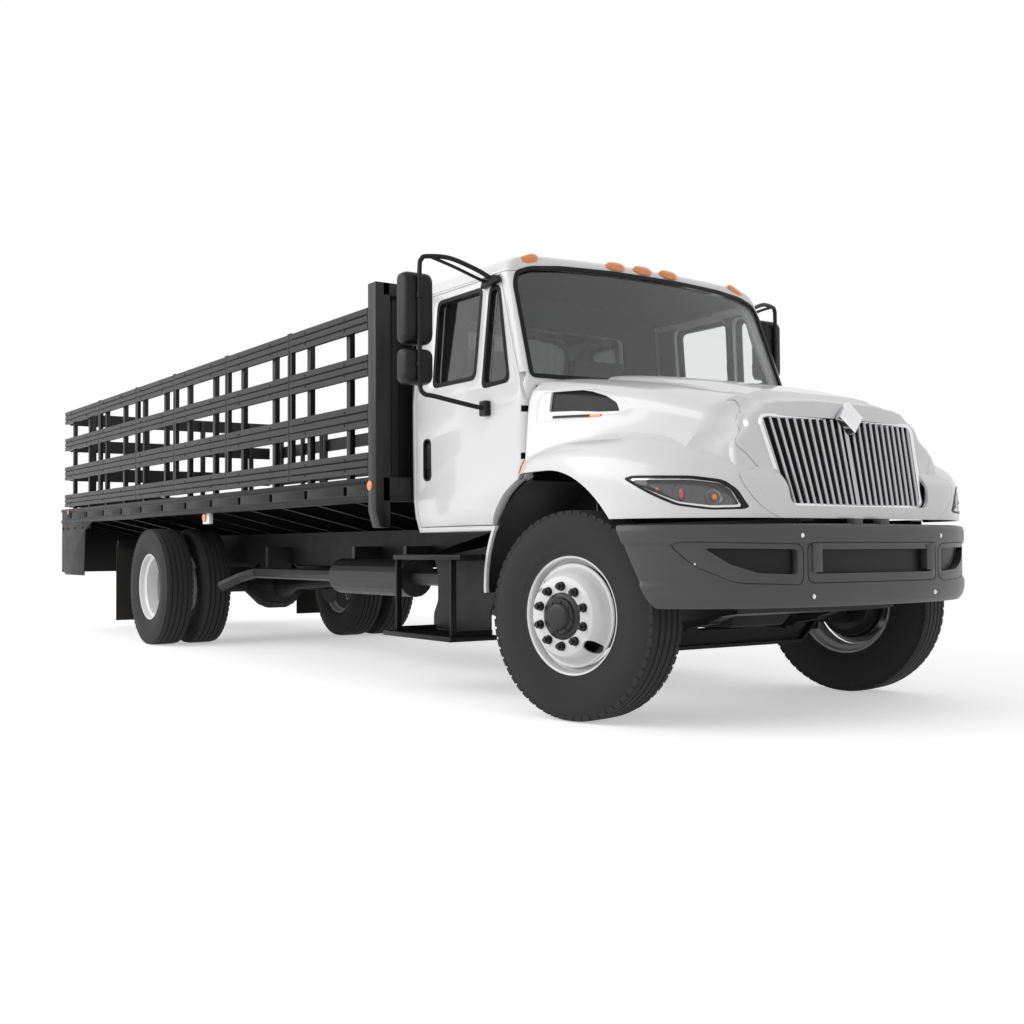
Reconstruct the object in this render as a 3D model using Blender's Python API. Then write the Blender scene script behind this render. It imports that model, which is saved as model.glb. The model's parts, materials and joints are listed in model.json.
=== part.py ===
"""Medium flatbed truck with a conventional cab and a stake-rack load bed.

All sizes are in metres. X runs forward from the front axle, Y to the truck's left, Z up from the
ground. The empty named truck moves the whole model so that its origin lies on the ground under the
middle of its length. Each object is one separate piece of the truck.
"""
import bpy
import bmesh
from math import cos, pi, radians, sin
from mathutils import Matrix, Vector

# Running gear
WHEELBASE = 5.994
TYRE_R = 0.509
TYRE_W = 0.254
TREAD_W = 0.215
BEAD_R = 0.2857
FLANGE_R = 0.2985
RIM_W = 0.2096
RIM_WALL = 0.0120
RIM_WELL_R = 0.250
FRONT_WHEEL_Y = 1.012
DUAL_Y = 0.919
DUAL_SPACING = 0.336
KINGPIN_Y = 0.86
STEER_AT_REST = radians(12.0)
STEER_ARM = 0.17
ARM_BOTTOM = 0.40
TIE_ROD_R = 0.018
SPINDLE_R = 0.030
REAR_SPINDLE_R = 0.045
DRUM_R = 0.205
AXLE_TUBE_R = 0.065
DIFF_R = 0.225
SPRING_W = 0.075
SPRING_PIN_R = 0.014

# Frame ladder
FRAME_HALF = 0.432
SPRING_Y = FRAME_HALF - 0.042
RAIL_TOP = 0.962
RAIL_H = 0.257
RAIL_FLANGE = 0.090
RAIL_WALL = 0.008
RAIL_FRONT = 0.900
RAIL_REAR = -8.700

# Cab
CAB_REAR = -1.690
CAB_FRONT = -0.505
CAB_FLOOR = 0.930
CAB_WALL = 0.055
FLOOR_TOP = 1.030
CAB_UNDER = (0.600, 0.980)
CAB_MOUNTS = (-0.700, -1.550)
SILL_TOP = 0.963
ROOF_JOINT = 2.345
DOOR_REAR = -1.620
DOOR_GAP = 0.005
DOOR_ROOM = 0.015
HINGE_X = -0.530
HINGE_Y = 0.985
HINGE_LEVELS = (1.320, 1.570)
HINGE_ARM = (0.006, 0.015)
HINGE_PIN_R = 0.0045
HINGE_PIN_REACH = 0.012
HINGE_RELIEF_R = 0.034
HINGE_RELIEF = (1.600, 1.765)
GLASS = 0.006
GLASS_INSET = 0.030
PANE_GAP = 0.0005

# Wheel arch, seen from the side
ARCH_TOP = 1.215
ARCH_FRONT = (-0.100, 0.605)
ARCH_REAR = (-0.335, 0.585)
ARCH_BOTTOM = 0.590

# Hood and bumper
HOOD_WALL = 0.020
HOOD_GAP = 0.009
HOOD_BOTTOM = 0.966
NOSE_X = 0.930
NOSE_HINGE = (0.935, 0.965)
BUMPER_FRONT = 1.000
BUMPER_TOP = 0.940
BUMPER_BOTTOM = 0.560
BUMPER_WALL = 0.030
BODY_HALF = 1.150
BUMPER_HALF = BODY_HALF + 0.040

# Load bed
DECK_FRONT = -1.8203
DECK_REAR = -8.850
DECK_HALF = 1.219
DECK_TOP = 1.265
DECK_PLATE = 0.030
SIDE_RAIL_BOTTOM = 1.119
SIDE_RAIL_W = 0.090
BULKHEAD_FRONT = -1.720
BULKHEAD_REAR = -1.820
BULKHEAD_TOP = 2.437
BULKHEAD_FOOT = 0.960
POST_W = 0.100
FOOT_H = 0.100
FOOT_TAPER = 0.030
TOP_TUBE_H = 0.080
SHEET_T = 0.006
RIB_Y = 0.560
RIB_HALF = 0.030
STAKE_PITCH = 0.5775
STAKE_W = 0.050
STAKE_T = 0.038
STAKE_Y = DECK_HALF - 0.054
STAKES = 12
FIRST_STAKE = -2.150
SLAT_T = 0.030
RACK_TOP = 2.298

# Gaps between pieces
SEAT = 0.0003
RUN = 0.0010

SIDES = (("left", 1), ("right", -1))


# Materials

def finish(name, colour, rough, metal=0.0, alpha=1.0):
    """Return a Principled material with its colour, roughness and metallic value."""
    mat = bpy.data.materials.new(name)
    mat.use_nodes = True
    shader = mat.node_tree.nodes["Principled BSDF"]
    shader.inputs["Base Color"].default_value = (*colour, 1.0)
    shader.inputs["Roughness"].default_value = rough
    shader.inputs["Metallic"].default_value = metal
    shader.inputs["Alpha"].default_value = alpha
    return mat


# Basic forms, each returned as a mesh

def to_mesh(bm):
    """Close a bmesh into a mesh whose faces point out."""
    bmesh.ops.remove_doubles(bm, verts=bm.verts, dist=0.00001)
    bmesh.ops.recalc_face_normals(bm, faces=bm.faces)
    mesh = bpy.data.meshes.new("form")
    bm.to_mesh(mesh)
    bm.free()
    return mesh


def prism(outline, axis, low, high):
    """Extrude an outline along an axis: X takes (y, z) points, Y takes (x, z), Z takes (x, y)."""
    place = {"X": lambda p, d: (d, p[0], p[1]),
             "Y": lambda p, d: (p[0], d, p[1]),
             "Z": lambda p, d: (p[0], p[1], d)}[axis]
    bm = bmesh.new()
    rings = [[bm.verts.new(place(p, d)) for p in outline] for d in (low, high)]
    bm.faces.new(rings[0])
    bm.faces.new(rings[1])
    for i in range(len(outline)):
        j = (i + 1) % len(outline)
        bm.faces.new((rings[0][i], rings[0][j], rings[1][j], rings[1][i]))
    return to_mesh(bm)


def box(low, high):
    """A block between two corners."""
    outline = [(low[0], low[1]), (high[0], low[1]), (high[0], high[1]), (low[0], high[1])]
    return prism(outline, "Z", low[2], high[2])


def arc(centre, radius, start, end, steps):
    """Points of an arc in a plane, angles in degrees."""
    angles = [radians(start + (end - start) * i / steps) for i in range(steps + 1)]
    return [(centre[0] + radius * cos(a), centre[1] + radius * sin(a)) for a in angles]


def disc(axis, centre, radius, low, high, sides=14):
    """A round bar along an axis."""
    return prism(arc(centre, radius, 0, 360 * (sides - 1) / sides, sides - 1), axis, low, high)


def loft(sections):
    """Skin a row of sections that have the same number of points, and close both ends."""
    bm = bmesh.new()
    rings = [[bm.verts.new(p) for p in section] for section in sections]
    count = len(rings[0])
    for a, b in zip(rings, rings[1:]):
        for i in range(count):
            j = (i + 1) % count
            bm.faces.new((a[i], a[j], b[j], b[i]))
    bm.faces.new(rings[0])
    bm.faces.new(rings[-1])
    bmesh.ops.triangulate(bm, faces=bm.faces)
    return to_mesh(bm)


def turned(profile, centre, steps, side=1):
    """Turn a closed (across, radius) profile about a line along Y through centre (x, y, z)."""
    bm = bmesh.new()
    rings = []
    for k in range(steps):
        a = 2 * pi * k / steps
        places = [(centre[0] + r * cos(a), centre[1] + side * w, centre[2] + r * sin(a)) for w, r in profile]
        rings.append([bm.verts.new(place) for place in places])
    count = len(profile)
    for k in range(steps):
        ring, following = rings[k], rings[(k + 1) % steps]
        for i in range(count):
            j = (i + 1) % count
            if profile[i][1] == 0 and profile[j][1] == 0:
                continue
            if profile[i][1] == 0:
                bm.faces.new((ring[i], ring[j], following[j]))
            elif profile[j][1] == 0:
                bm.faces.new((ring[i], ring[j], following[i]))
            else:
                bm.faces.new((ring[i], ring[j], following[j], following[i]))
    return to_mesh(bm)


def tube(points, radius, sides=8):
    """A round tube along a row of points."""
    curve = bpy.data.curves.new("form", "CURVE")
    curve.dimensions = "3D"
    curve.bevel_depth = radius
    curve.bevel_resolution = (sides - 4) // 2
    curve.use_fill_caps = True
    spline = curve.splines.new("POLY")
    spline.points.add(len(points) - 1)
    for point, place in zip(spline.points, points):
        point.co = (*place, 1.0)
    holder = bpy.data.objects.new("form", curve)
    bpy.context.collection.objects.link(holder)
    mesh = bpy.data.meshes.new_from_object(holder.evaluated_get(bpy.context.evaluated_depsgraph_get()))
    bpy.data.objects.remove(holder)
    bm = bmesh.new()
    bm.from_mesh(mesh)
    return to_mesh(bm)


def mirrored(points):
    """Complete a half outline of (y, z) points with its other half."""
    return points + [(-y, z) for y, z in reversed(points)]


def boolean(base, others, operation):
    """Join meshes to a base mesh, or cut them from it."""
    if not others:
        return base
    group = bpy.data.collections.new("operands")
    bpy.context.scene.collection.children.link(group)
    holder = bpy.data.objects.new("form", base)
    bpy.context.scene.collection.objects.link(holder)
    for mesh in others:
        piece = bpy.data.objects.new("operand", mesh)
        piece.hide_render = True
        piece.display_type = "WIRE"
        group.objects.link(piece)
    modifier = holder.modifiers.new("shape", "BOOLEAN")
    modifier.operation = operation
    modifier.operand_type = "COLLECTION"
    modifier.collection = group
    modifier.solver = "EXACT"
    graph = bpy.context.evaluated_depsgraph_get()
    result = bpy.data.meshes.new_from_object(holder.evaluated_get(graph))
    for piece in list(group.objects):
        bpy.data.objects.remove(piece)
    bpy.data.objects.remove(holder)
    bpy.data.collections.remove(group)
    return result


def joined(*meshes):
    """One solid of several that overlap."""
    return boolean(meshes[0], list(meshes[1:]), "UNION")


def cut(base, *cutters):
    """A solid with others taken out of it."""
    return boolean(base, list(cutters), "DIFFERENCE")


def common(base, other):
    """What two solids share."""
    return boolean(base, [other], "INTERSECT")


def empty(name, place, parent, turn=0.0):
    """A pivot that moving pieces hang from, turned about Z."""
    pivot = bpy.data.objects.new(name, None)
    bpy.context.collection.objects.link(pivot)
    pivot.parent = parent
    pivot.location = place
    pivot.rotation_euler = (0.0, 0.0, turn)
    return pivot


def piece(name, mesh, mat, parent, pivot=(0.0, 0.0, 0.0), smooth=False):
    """Name a finished solid, give it its material and hang it from its parent's pivot."""
    body = bpy.data.objects.new(name, mesh)
    bpy.context.collection.objects.link(body)
    mesh.name = name
    mesh.materials.clear()
    mesh.materials.append(mat)
    if smooth:
        mesh.shade_smooth()
        mesh.set_sharp_from_angle(angle=radians(35))
    body.parent = parent
    body.location = tuple(-c for c in pivot)
    return body


# Frame, axles and springs

def channel(x, half_w, low, high, wall):
    """Outline of a channel section in X and Z that opens to the rear."""
    return [(x - half_w, low), (x + half_w, low), (x + half_w, high), (x - half_w, high),
            (x - half_w, high - wall), (x + half_w - wall, high - wall),
            (x + half_w - wall, low + wall), (x - half_w, low + wall)]


SPRINGS = (
    # name, middle X, half length, eye Z, seat Z, leaves, leaf thickness
    ("front", 0.0, 0.62, 0.600, 0.405, 4, 0.012),
    ("rear", -WHEELBASE, 0.72, 0.635, TYRE_R + AXLE_TUBE_R + 0.020, 6, 0.013),
)
CROSSMEMBERS = (
    # X, low Z, high Z
    (0.540, 0.760, 0.930),
    (-1.900, 0.760, 0.930),
    (-3.200, 0.760, 0.930),
    (-4.330, 0.760, 0.930),
    (-5.150, 0.760, 0.930),
    (-6.840, 0.760, 0.930),
    (-7.750, 0.760, 0.930),
    (-8.600, 0.760, 0.930),
)
HANGER_CHEEK = 0.010
EYE_R = 0.030
ENGINE_HALF = 0.300
ENGINE_LOW = 0.620
ENGINE_TOP = 1.400
ENGINE_FRONT = 0.450
ENGINE_REAR = CAB_FRONT + 0.010
SHAFT_BEARING_X = -4.330
SHAFT_BEARING_Z = 0.580
SHAFT_BEARING_R = 0.070


def build_frame(truck, mat):
    """Two channel rails with cross members, spring hangers and mounts."""
    web_in = FRAME_HALF - RAIL_WALL
    bottom = RAIL_TOP - RAIL_H
    solids = []
    for _, side in SIDES:
        section = [(FRAME_HALF, bottom), (FRAME_HALF, RAIL_TOP), (FRAME_HALF - RAIL_FLANGE, RAIL_TOP),
                   (FRAME_HALF - RAIL_FLANGE, RAIL_TOP - RAIL_WALL), (web_in, RAIL_TOP - RAIL_WALL),
                   (web_in, bottom + RAIL_WALL), (FRAME_HALF - RAIL_FLANGE, bottom + RAIL_WALL),
                   (FRAME_HALF - RAIL_FLANGE, bottom)]
        solids.append(prism([(side * y, z) for y, z in section], "X", RAIL_REAR, RAIL_FRONT))
        for _, middle, half, eye_z, _, _, _ in SPRINGS:
            for end in (-1, 1):
                x = middle + end * half
                plate = [(x - 0.050, bottom + 0.004), (x - EYE_R, eye_z - EYE_R),
                         (x + EYE_R, eye_z - EYE_R), (x + 0.050, bottom + 0.004)]
                for edge in (-1, 1):
                    face = side * SPRING_Y + edge * (SPRING_W / 2 + RUN)
                    low, high = sorted((face, face + edge * HANGER_CHEEK))
                    solids.append(prism(plate, "Y", low, high))
                reach = SPRING_W / 2 + RUN + HANGER_CHEEK / 2
                solids.append(disc("Y", (x, eye_z), SPRING_PIN_R, side * SPRING_Y - reach,
                                   side * SPRING_Y + reach, 8))
        pad_in, pad_out = sorted((side * (ENGINE_HALF + SEAT), side * (web_in + 0.001)))
        solids.append(box((-0.18, pad_in, 0.800), (-0.04, pad_out, 0.900)))
        mount_in, mount_out = sorted((side * (FRAME_HALF - 0.080), side * (FRAME_HALF - 0.010)))
        for x in CAB_MOUNTS:
            solids.append(box((x - 0.050, mount_in, RAIL_TOP - 0.002),
                              (x + 0.050, mount_out, CAB_UNDER[1] - SEAT)))
    for x, low, high in CROSSMEMBERS:
        solids.append(prism(channel(x, 0.030, low, high, RAIL_WALL), "Y", -web_in - 0.001, web_in + 0.001))
    bearing_top = SHAFT_BEARING_Z + SHAFT_BEARING_R + SEAT
    solids.append(box((SHAFT_BEARING_X - 0.028, -0.060, bearing_top),
                      (SHAFT_BEARING_X + 0.028, 0.060, 0.765)))
    piece("frame", joined(*solids), mat, truck)


def build_springs(truck, mat):
    """Leaf packs whose stepped leaves rest on the axles and whose eyes turn on the hanger pins."""
    for name, middle, half, eye_z, seat_z, leaves, leaf in SPRINGS:
        crown = seat_z + SEAT + leaves * leaf
        sag = eye_z + leaf / 2 - crown
        steps = 8

        def top(t):
            return crown + sag * t * t

        outline = [(middle + half * t, top(t)) for t in [i / steps * 2 - 1 for i in range(steps + 1)]]
        under = []
        for k in range(1, leaves):
            t = 1.0 - (k - 1) * 0.8 / (leaves - 1)
            shorter = 1.0 - k * 0.8 / (leaves - 1)
            under.append((t, k))
            under.append((shorter, k))
        under.append((1.0 - 0.8, leaves))
        right = [(middle + half * t, (crown if k == leaves else top(t)) - k * leaf) for t, k in under]
        left = [(2 * middle - x, z) for x, z in reversed(right)]
        outline += right + left
        for side_name, side in SIDES:
            low = side * SPRING_Y - SPRING_W / 2
            high = side * SPRING_Y + SPRING_W / 2
            pack = prism(outline, "Y", low, high)
            eyes = [disc("Y", (middle + e * half, eye_z), EYE_R - RUN, low, high, 10) for e in (-1, 1)]
            holes = [disc("Y", (middle + e * half, eye_z), SPRING_PIN_R + SEAT, low - 0.01, high + 0.01, 8)
                     for e in (-1, 1)]
            piece(f"{name}_spring_{side_name}", cut(joined(pack, *eyes), *holes), mat, truck)


BEAM_DEPTH = 0.095
BEAM_LOW_TOP = 0.400
BEAM_END_TOP = 0.545
BEAM_HALF_W = 0.045
BOSS_R = 0.045
KINGPIN_R = 0.0215


def build_front_axle(truck, mat):
    """A dropped I-beam with spring pads and a bored boss for each kingpin."""
    end = KINGPIN_Y - 0.020
    line = [(-end, BEAM_END_TOP), (-0.660, BEAM_END_TOP), (-0.500, BEAM_LOW_TOP),
            (0.500, BEAM_LOW_TOP), (0.660, BEAM_END_TOP), (end, BEAM_END_TOP)]

    def band(upper, lower):
        return [(y, z - upper) for y, z in line] + [(y, z - lower) for y, z in reversed(line)]

    web = prism(band(0.004, BEAM_DEPTH - 0.004), "X", -0.012, 0.012)
    flanges = [prism(band(0.0, 0.018), "X", -BEAM_HALF_W, BEAM_HALF_W),
               prism(band(BEAM_DEPTH - 0.018, BEAM_DEPTH), "X", -BEAM_HALF_W, BEAM_HALF_W)]
    ends = []
    bores = []
    for _, side in SIDES:
        ends.append(disc("Z", (0.0, side * KINGPIN_Y), BOSS_R, BEAM_END_TOP - BEAM_DEPTH, BEAM_END_TOP))
        bores.append(disc("Z", (0.0, side * KINGPIN_Y), KINGPIN_R + RUN / 2, 0.3, 0.7, 16))
        ends.append(box((-0.070, side * SPRING_Y - 0.045, BEAM_LOW_TOP - 0.010),
                        (0.070, side * SPRING_Y + 0.045, SPRINGS[0][4])))
    piece("front_axle", cut(joined(web, *flanges, *ends), *bores), mat, truck)


def build_rear_axle(truck, mat):
    """A banjo housing with its differential bowl, pinion nose and spring pads."""
    x = -WHEELBASE
    reach = DUAL_Y + 0.050
    profile = [(-reach, 0), (-reach, REAR_SPINDLE_R), (-0.565, REAR_SPINDLE_R), (-0.530, AXLE_TUBE_R),
               (-0.300, AXLE_TUBE_R), (-0.160, 0.190), (-0.080, DIFF_R), (0.080, DIFF_R),
               (0.160, 0.190), (0.300, AXLE_TUBE_R), (0.530, AXLE_TUBE_R), (0.565, REAR_SPINDLE_R),
               (reach, REAR_SPINDLE_R), (reach, 0)]
    housing = turned(profile, (x, 0.0, TYRE_R), 14)
    nose = loft([[(x + d, r * cos(a), TYRE_R + r * sin(a)) for a in [2 * pi * k / 12 for k in range(12)]]
                 for d, r in ((0.10, 0.130), (0.24, 0.110), (PINION_REACH, 0.060))])
    pads = []
    for _, side in SIDES:
        pads.append(box((x - 0.080, side * SPRING_Y - 0.045, TYRE_R + 0.030),
                        (x + 0.080, side * SPRING_Y + 0.045, SPRINGS[1][4])))
        inner, outer = sorted((side * 0.550, side * 0.562))
        pads.append(disc("Y", (x, TYRE_R), 0.195, inner, outer, 16))
    piece("rear_axle", joined(housing, nose, *pads), mat, truck, smooth=True)


PINION_REACH = 0.380
SHAFT_R = 0.045
YOKE_R = 0.060
GEARBOX_REAR = -1.450
GEARBOX_Z = 0.720


def build_drive_line(truck, metal, dark):
    """Engine block, gearbox, radiator and the two-piece drive shaft with its centre bearing."""
    block = box((ENGINE_REAR, -ENGINE_HALF, ENGINE_LOW), (ENGINE_FRONT, ENGINE_HALF, ENGINE_TOP))
    piece("engine", block, dark, truck)
    turn = [2 * pi * k / 12 for k in range(12)]
    rows = ((ENGINE_REAR - SEAT, 0.190), (-0.720, 0.190), (-0.860, 0.140), (-1.330, 0.125),
            (GEARBOX_REAR, YOKE_R))
    gearbox = loft([[(x, r * cos(a), GEARBOX_Z + r * sin(a)) for a in turn] for x, r in rows])
    piece("gearbox", gearbox, metal, truck, smooth=True)

    front = Vector((GEARBOX_REAR - SEAT, 0.0, GEARBOX_Z))
    middle = Vector((SHAFT_BEARING_X, 0.0, SHAFT_BEARING_Z))
    rear = Vector((-WHEELBASE + PINION_REACH + SEAT, 0.0, TYRE_R))
    rows = ((front, YOKE_R), (front.lerp(middle, 0.05), YOKE_R), (front.lerp(middle, 0.07), SHAFT_R),
            (front.lerp(middle, 0.95), SHAFT_R), (middle + Vector((0.03, 0, 0)), SHAFT_BEARING_R),
            (middle - Vector((0.03, 0, 0)), SHAFT_BEARING_R), (middle.lerp(rear, 0.08), YOKE_R),
            (middle.lerp(rear, 0.12), SHAFT_R), (middle.lerp(rear, 0.90), SHAFT_R), (rear, YOKE_R))
    shaft = loft([[(p.x, r * cos(a), p.z + r * sin(a)) for a in turn] for p, r in rows])
    piece("drive_shaft", shaft, metal, truck, smooth=True)

    x, _, high = CROSSMEMBERS[0]
    radiator = box((x - 0.035, -0.330, high + SEAT), (x + 0.035, 0.330, 1.400))
    shroud = box((x - 0.028, -0.340, 1.380), (x + 0.028, 0.340, 1.430))
    piece("radiator", joined(radiator, shroud), dark, truck)


# Steering and wheels

WHEEL_STEPS = 24
EAR_HALF = 0.045
HUB_BODY = 0.047


def build_steering(truck, mat):
    """Knuckles on their kingpins and the tie rod between their arms."""
    pivots = {}
    low_ear, high_ear = BEAM_END_TOP - BEAM_DEPTH - RUN / 2, BEAM_END_TOP + RUN / 2
    for name, side in SIDES:
        kingpin = (0.0, side * KINGPIN_Y, TYRE_R)
        pivot = empty(f"steer_{name}", kingpin, truck, STEER_AT_REST)
        pivots[name] = (pivot, kingpin)
        inner = KINGPIN_Y - EAR_HALF
        outer = FRONT_WHEEL_Y - 0.052
        yoke = [(inner, ARM_BOTTOM), (outer, ARM_BOTTOM), (outer, high_ear + 0.035),
                (inner, high_ear + 0.035), (inner, high_ear), (KINGPIN_Y + HUB_BODY, high_ear),
                (KINGPIN_Y + HUB_BODY, low_ear), (inner, low_ear)]
        solids = [prism([(side * y, z) for y, z in yoke], "X", -EAR_HALF, EAR_HALF),
                  disc("Z", (0.0, side * KINGPIN_Y), KINGPIN_R, ARM_BOTTOM + 0.002, high_ear + 0.033, 16)]
        for radius, low, high in ((0.195, outer - 0.002, outer + 0.012), (SPINDLE_R, outer, outer + 0.190)):
            near, far = sorted((side * low, side * high))
            solids.append(disc("Y", (0.0, TYRE_R), radius, near, far))
        arm = [(0.0, side * KINGPIN_Y - 0.022), (0.0, side * KINGPIN_Y + 0.022),
               *arc((-STEER_ARM, side * KINGPIN_Y), 0.028, 90, 270, 6)]
        solids.append(prism(arm, "Z", ARM_BOTTOM, ARM_BOTTOM + 0.030))
        piece(f"knuckle_{name}", joined(*solids), mat, pivot, kingpin)

    pivot, kingpin = pivots["left"]
    ball = (-STEER_ARM, KINGPIN_Y, ARM_BOTTOM)
    rod_pivot = empty("tie_rod_pivot", Vector(ball) - Vector(kingpin), pivot, -STEER_AT_REST)
    top = ARM_BOTTOM - SEAT
    rod_z = top - 0.022
    ends = [disc("Z", (-STEER_ARM, side * KINGPIN_Y), 0.026, top - 0.044, top, 16) for _, side in SIDES]
    rod = disc("Y", (-STEER_ARM, rod_z), TIE_ROD_R, -KINGPIN_Y, KINGPIN_Y, 12)
    piece("tie_rod", joined(rod, *ends), mat, rod_pivot, ball)
    return pivots


def tyre_profile(middle):
    """Closed cross-section of a tyre about its middle plane: bead, sidewall, shoulder, tread."""
    bead = RIM_W / 2 - SEAT
    half = [(bead, BEAD_R + SEAT), (bead, FLANGE_R + 0.006), (TYRE_W / 2, 0.400),
            (TREAD_W / 2 + 0.004, TYRE_R - 0.020), (TREAD_W / 2 - 0.016, TYRE_R)]
    return [(middle + w, r) for w, r in half] + [(middle - w, r) for w, r in reversed(half)]


def rim_outside(middle):
    """The side of a rim that carries the tyre, from its inner flange to its outer one."""
    half, edge = RIM_W / 2, RIM_W / 2 + RIM_WALL
    return [(middle - edge, FLANGE_R), (middle - half, FLANGE_R), (middle - half, BEAD_R),
            (middle + half, BEAD_R), (middle + half, FLANGE_R), (middle + edge, FLANGE_R)]


def build_wheels(truck, pivots, rubber, steel):
    """Front wheels on the knuckles, and twin rear wheels that share one hub on each side."""
    rim_in = RIM_WELL_R - 0.010
    hub_in = FRONT_WHEEL_Y - 0.036
    for name, side in SIDES:
        pivot, kingpin = pivots[name]
        spin = empty(f"spin_front_{name}", (0.0, side * (FRONT_WHEEL_Y - KINGPIN_Y), 0.0), pivot)
        centre = (0.0, side * FRONT_WHEEL_Y, TYRE_R)
        profile = [(0.152, 0), (0.152, SPINDLE_R + RUN), (hub_in - FRONT_WHEEL_Y, SPINDLE_R + RUN),
                   (hub_in - FRONT_WHEEL_Y, DRUM_R), (0.100, DRUM_R), (0.055, rim_in), (-0.085, rim_in),
                   *rim_outside(0.0), (0.085, rim_in + 0.006), (0.150, 0.200), (0.166, 0.185),
                   (0.166, 0.112), (0.200, 0.100), (0.207, 0.060), (0.207, 0)]
        piece(f"front_wheel_{name}", turned(profile, centre, WHEEL_STEPS, side), steel, spin, centre, True)
        tyre = turned(tyre_profile(0.0), centre, WHEEL_STEPS, side)
        piece(f"front_tyre_{name}", tyre, rubber, spin, centre, smooth=True)

        centre = (-WHEELBASE, side * DUAL_Y, TYRE_R)
        spin = empty(f"spin_rear_{name}", centre, truck)
        half = DUAL_SPACING / 2
        outer_rim = rim_outside(half)
        inner_rim = rim_outside(-half)
        profile = [(0.055, 0), (0.055, REAR_SPINDLE_R + RUN), (-0.350, REAR_SPINDLE_R + RUN),
                   (-0.350, DRUM_R), (-0.120, DRUM_R), (-0.060, 0.130), (-0.011, 0.130), (-0.016, 0.190),
                   (-half + 0.055, rim_in), (-half - 0.085, rim_in), *inner_rim,
                   (-half + 0.085, rim_in + 0.006), (-0.004, 0.200), (0.004, 0.200),
                   (half - 0.085, rim_in + 0.006), *outer_rim, (half + 0.085, rim_in),
                   (half - 0.055, rim_in), (0.016, 0.190), (0.011, 0.112), (0.090, 0.105),
                   (0.150, 0.075), (0.150, 0)]
        piece(f"rear_wheel_{name}", turned(profile, centre, WHEEL_STEPS, side), steel, spin, centre, True)
        for place, middle in (("outer", half), ("inner", -half)):
            tyre = turned(tyre_profile(middle), centre, WHEEL_STEPS, side)
            piece(f"rear_tyre_{place}_{name}", tyre, rubber, spin, centre, smooth=True)


# Cab

CAB_LEVELS = (
    # Z, half width, front X, bow of the front, share of the wall taken off the height inside
    (CAB_FLOOR, 0.955, CAB_FRONT, 0.0, 0.0),
    (1.120, 0.995, CAB_FRONT, 0.0, 0.0),
    (1.600, 1.000, CAB_FRONT, 0.0, 0.0),
    (1.700, 1.000, -0.470, 0.040, 0.0),
    (2.340, 0.950, -0.705, 0.050, 0.5),
    (2.395, 0.930, -0.725, 0.052, 0.8),
    (2.445, 0.850, -0.750, 0.055, 1.0),
    (2.476, 0.640, -0.795, 0.050, 1.0),
    (2.500, 0.350, -0.880, 0.040, 1.0),
)


def cab_ring(z, half, front, bow, inset, forward=0.0):
    """One level of the cab's outline, moved in by inset."""
    half, front, rear = half - inset, front - inset + forward, CAB_REAR + inset
    nose = [(front + bow * (1 - s * s), s * (half - 0.030), z) for s in (-1.0, -0.5, 0.0, 0.5, 1.0)]
    flank = [(front - 0.050, half, z), (rear + 0.040, half, z), (rear, half - 0.040, z)]
    return nose + flank + [(x, -y, zz) for x, y, zz in reversed(flank)]


def cab_form(inset=0.0, forward=0.0, low=None):
    """The cab's closed outer form, or the same form moved in by inset."""
    rings = []
    for z, half, front, bow, share in CAB_LEVELS:
        level = z - inset * share
        if z == CAB_FLOOR:
            level = z + inset if low is None else low
        rings.append(cab_ring(level, half, front, bow, inset, forward))
    return loft(rings)


def arch_outline(grow=0.0, bottom=0.0):
    """The wheel arch seen from the side, grown by a distance and open at the bottom."""
    front_x, front_r = ARCH_FRONT
    rear_x, rear_r = ARCH_REAR
    rear = arc((rear_x, ARCH_TOP - rear_r), rear_r + grow, 90, 180, 7)
    front = arc((front_x, ARCH_TOP - front_r), front_r + grow, 0, 90, 6)
    return [(front[0][0], bottom), *front, *rear, (rear[-1][0], bottom)]


def door_outline(grow=0.0):
    """The door seen from the side, before the wheel arch is cut."""
    return [(DOOR_REAR - grow, SILL_TOP - grow), (CAB_FRONT + 0.2 * grow, SILL_TOP - grow),
            (CAB_FRONT + 0.2 * grow, 1.610), (-0.530 + grow, 1.730), (-0.780 + grow, 2.330 + grow),
            (DOOR_REAR - grow, 2.330 + grow)]


WINDOW = [(-1.430, 1.775), (-0.965, 1.775), (-0.965, 2.290), (-1.430, 2.290)]
VENT = [(-0.900, 1.715), (-0.625, 1.725), (-0.790, 2.280), (-0.875, 2.280)]
PANE = [(-1.480, 1.700), (-0.585, 1.700), (-0.770, 2.318), (-1.480, 2.318)]
LINER_Y = 0.880
# Right half of the windshield's opening seen from the front, from its low corner to the middle
WINDSHIELD = [(0.953, 1.742), (0.925, 2.270), (0.895, 2.342), (0.800, 2.378), (0.600, 2.400), (0.250, 2.411)]
REAR_WINDOW = (0.620, 1.750, 2.240)


def rounded(outline, radius=0.030, steps=2):
    """Round the corners of an outline with short chords."""
    result = []
    count = len(outline)
    for i in range(count):
        corner = Vector(outline[i])
        to_last = (Vector(outline[i - 1]) - corner).normalized()
        to_next = (Vector(outline[(i + 1) % count]) - corner).normalized()
        start, end = corner + to_last * radius, corner + to_next * radius
        for k in range(steps + 1):
            t = k / steps
            point = (1 - t) ** 2 * start + 2 * t * (1 - t) * corner + t * t * end
            result.append((point.x, point.y))
    return result


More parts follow.
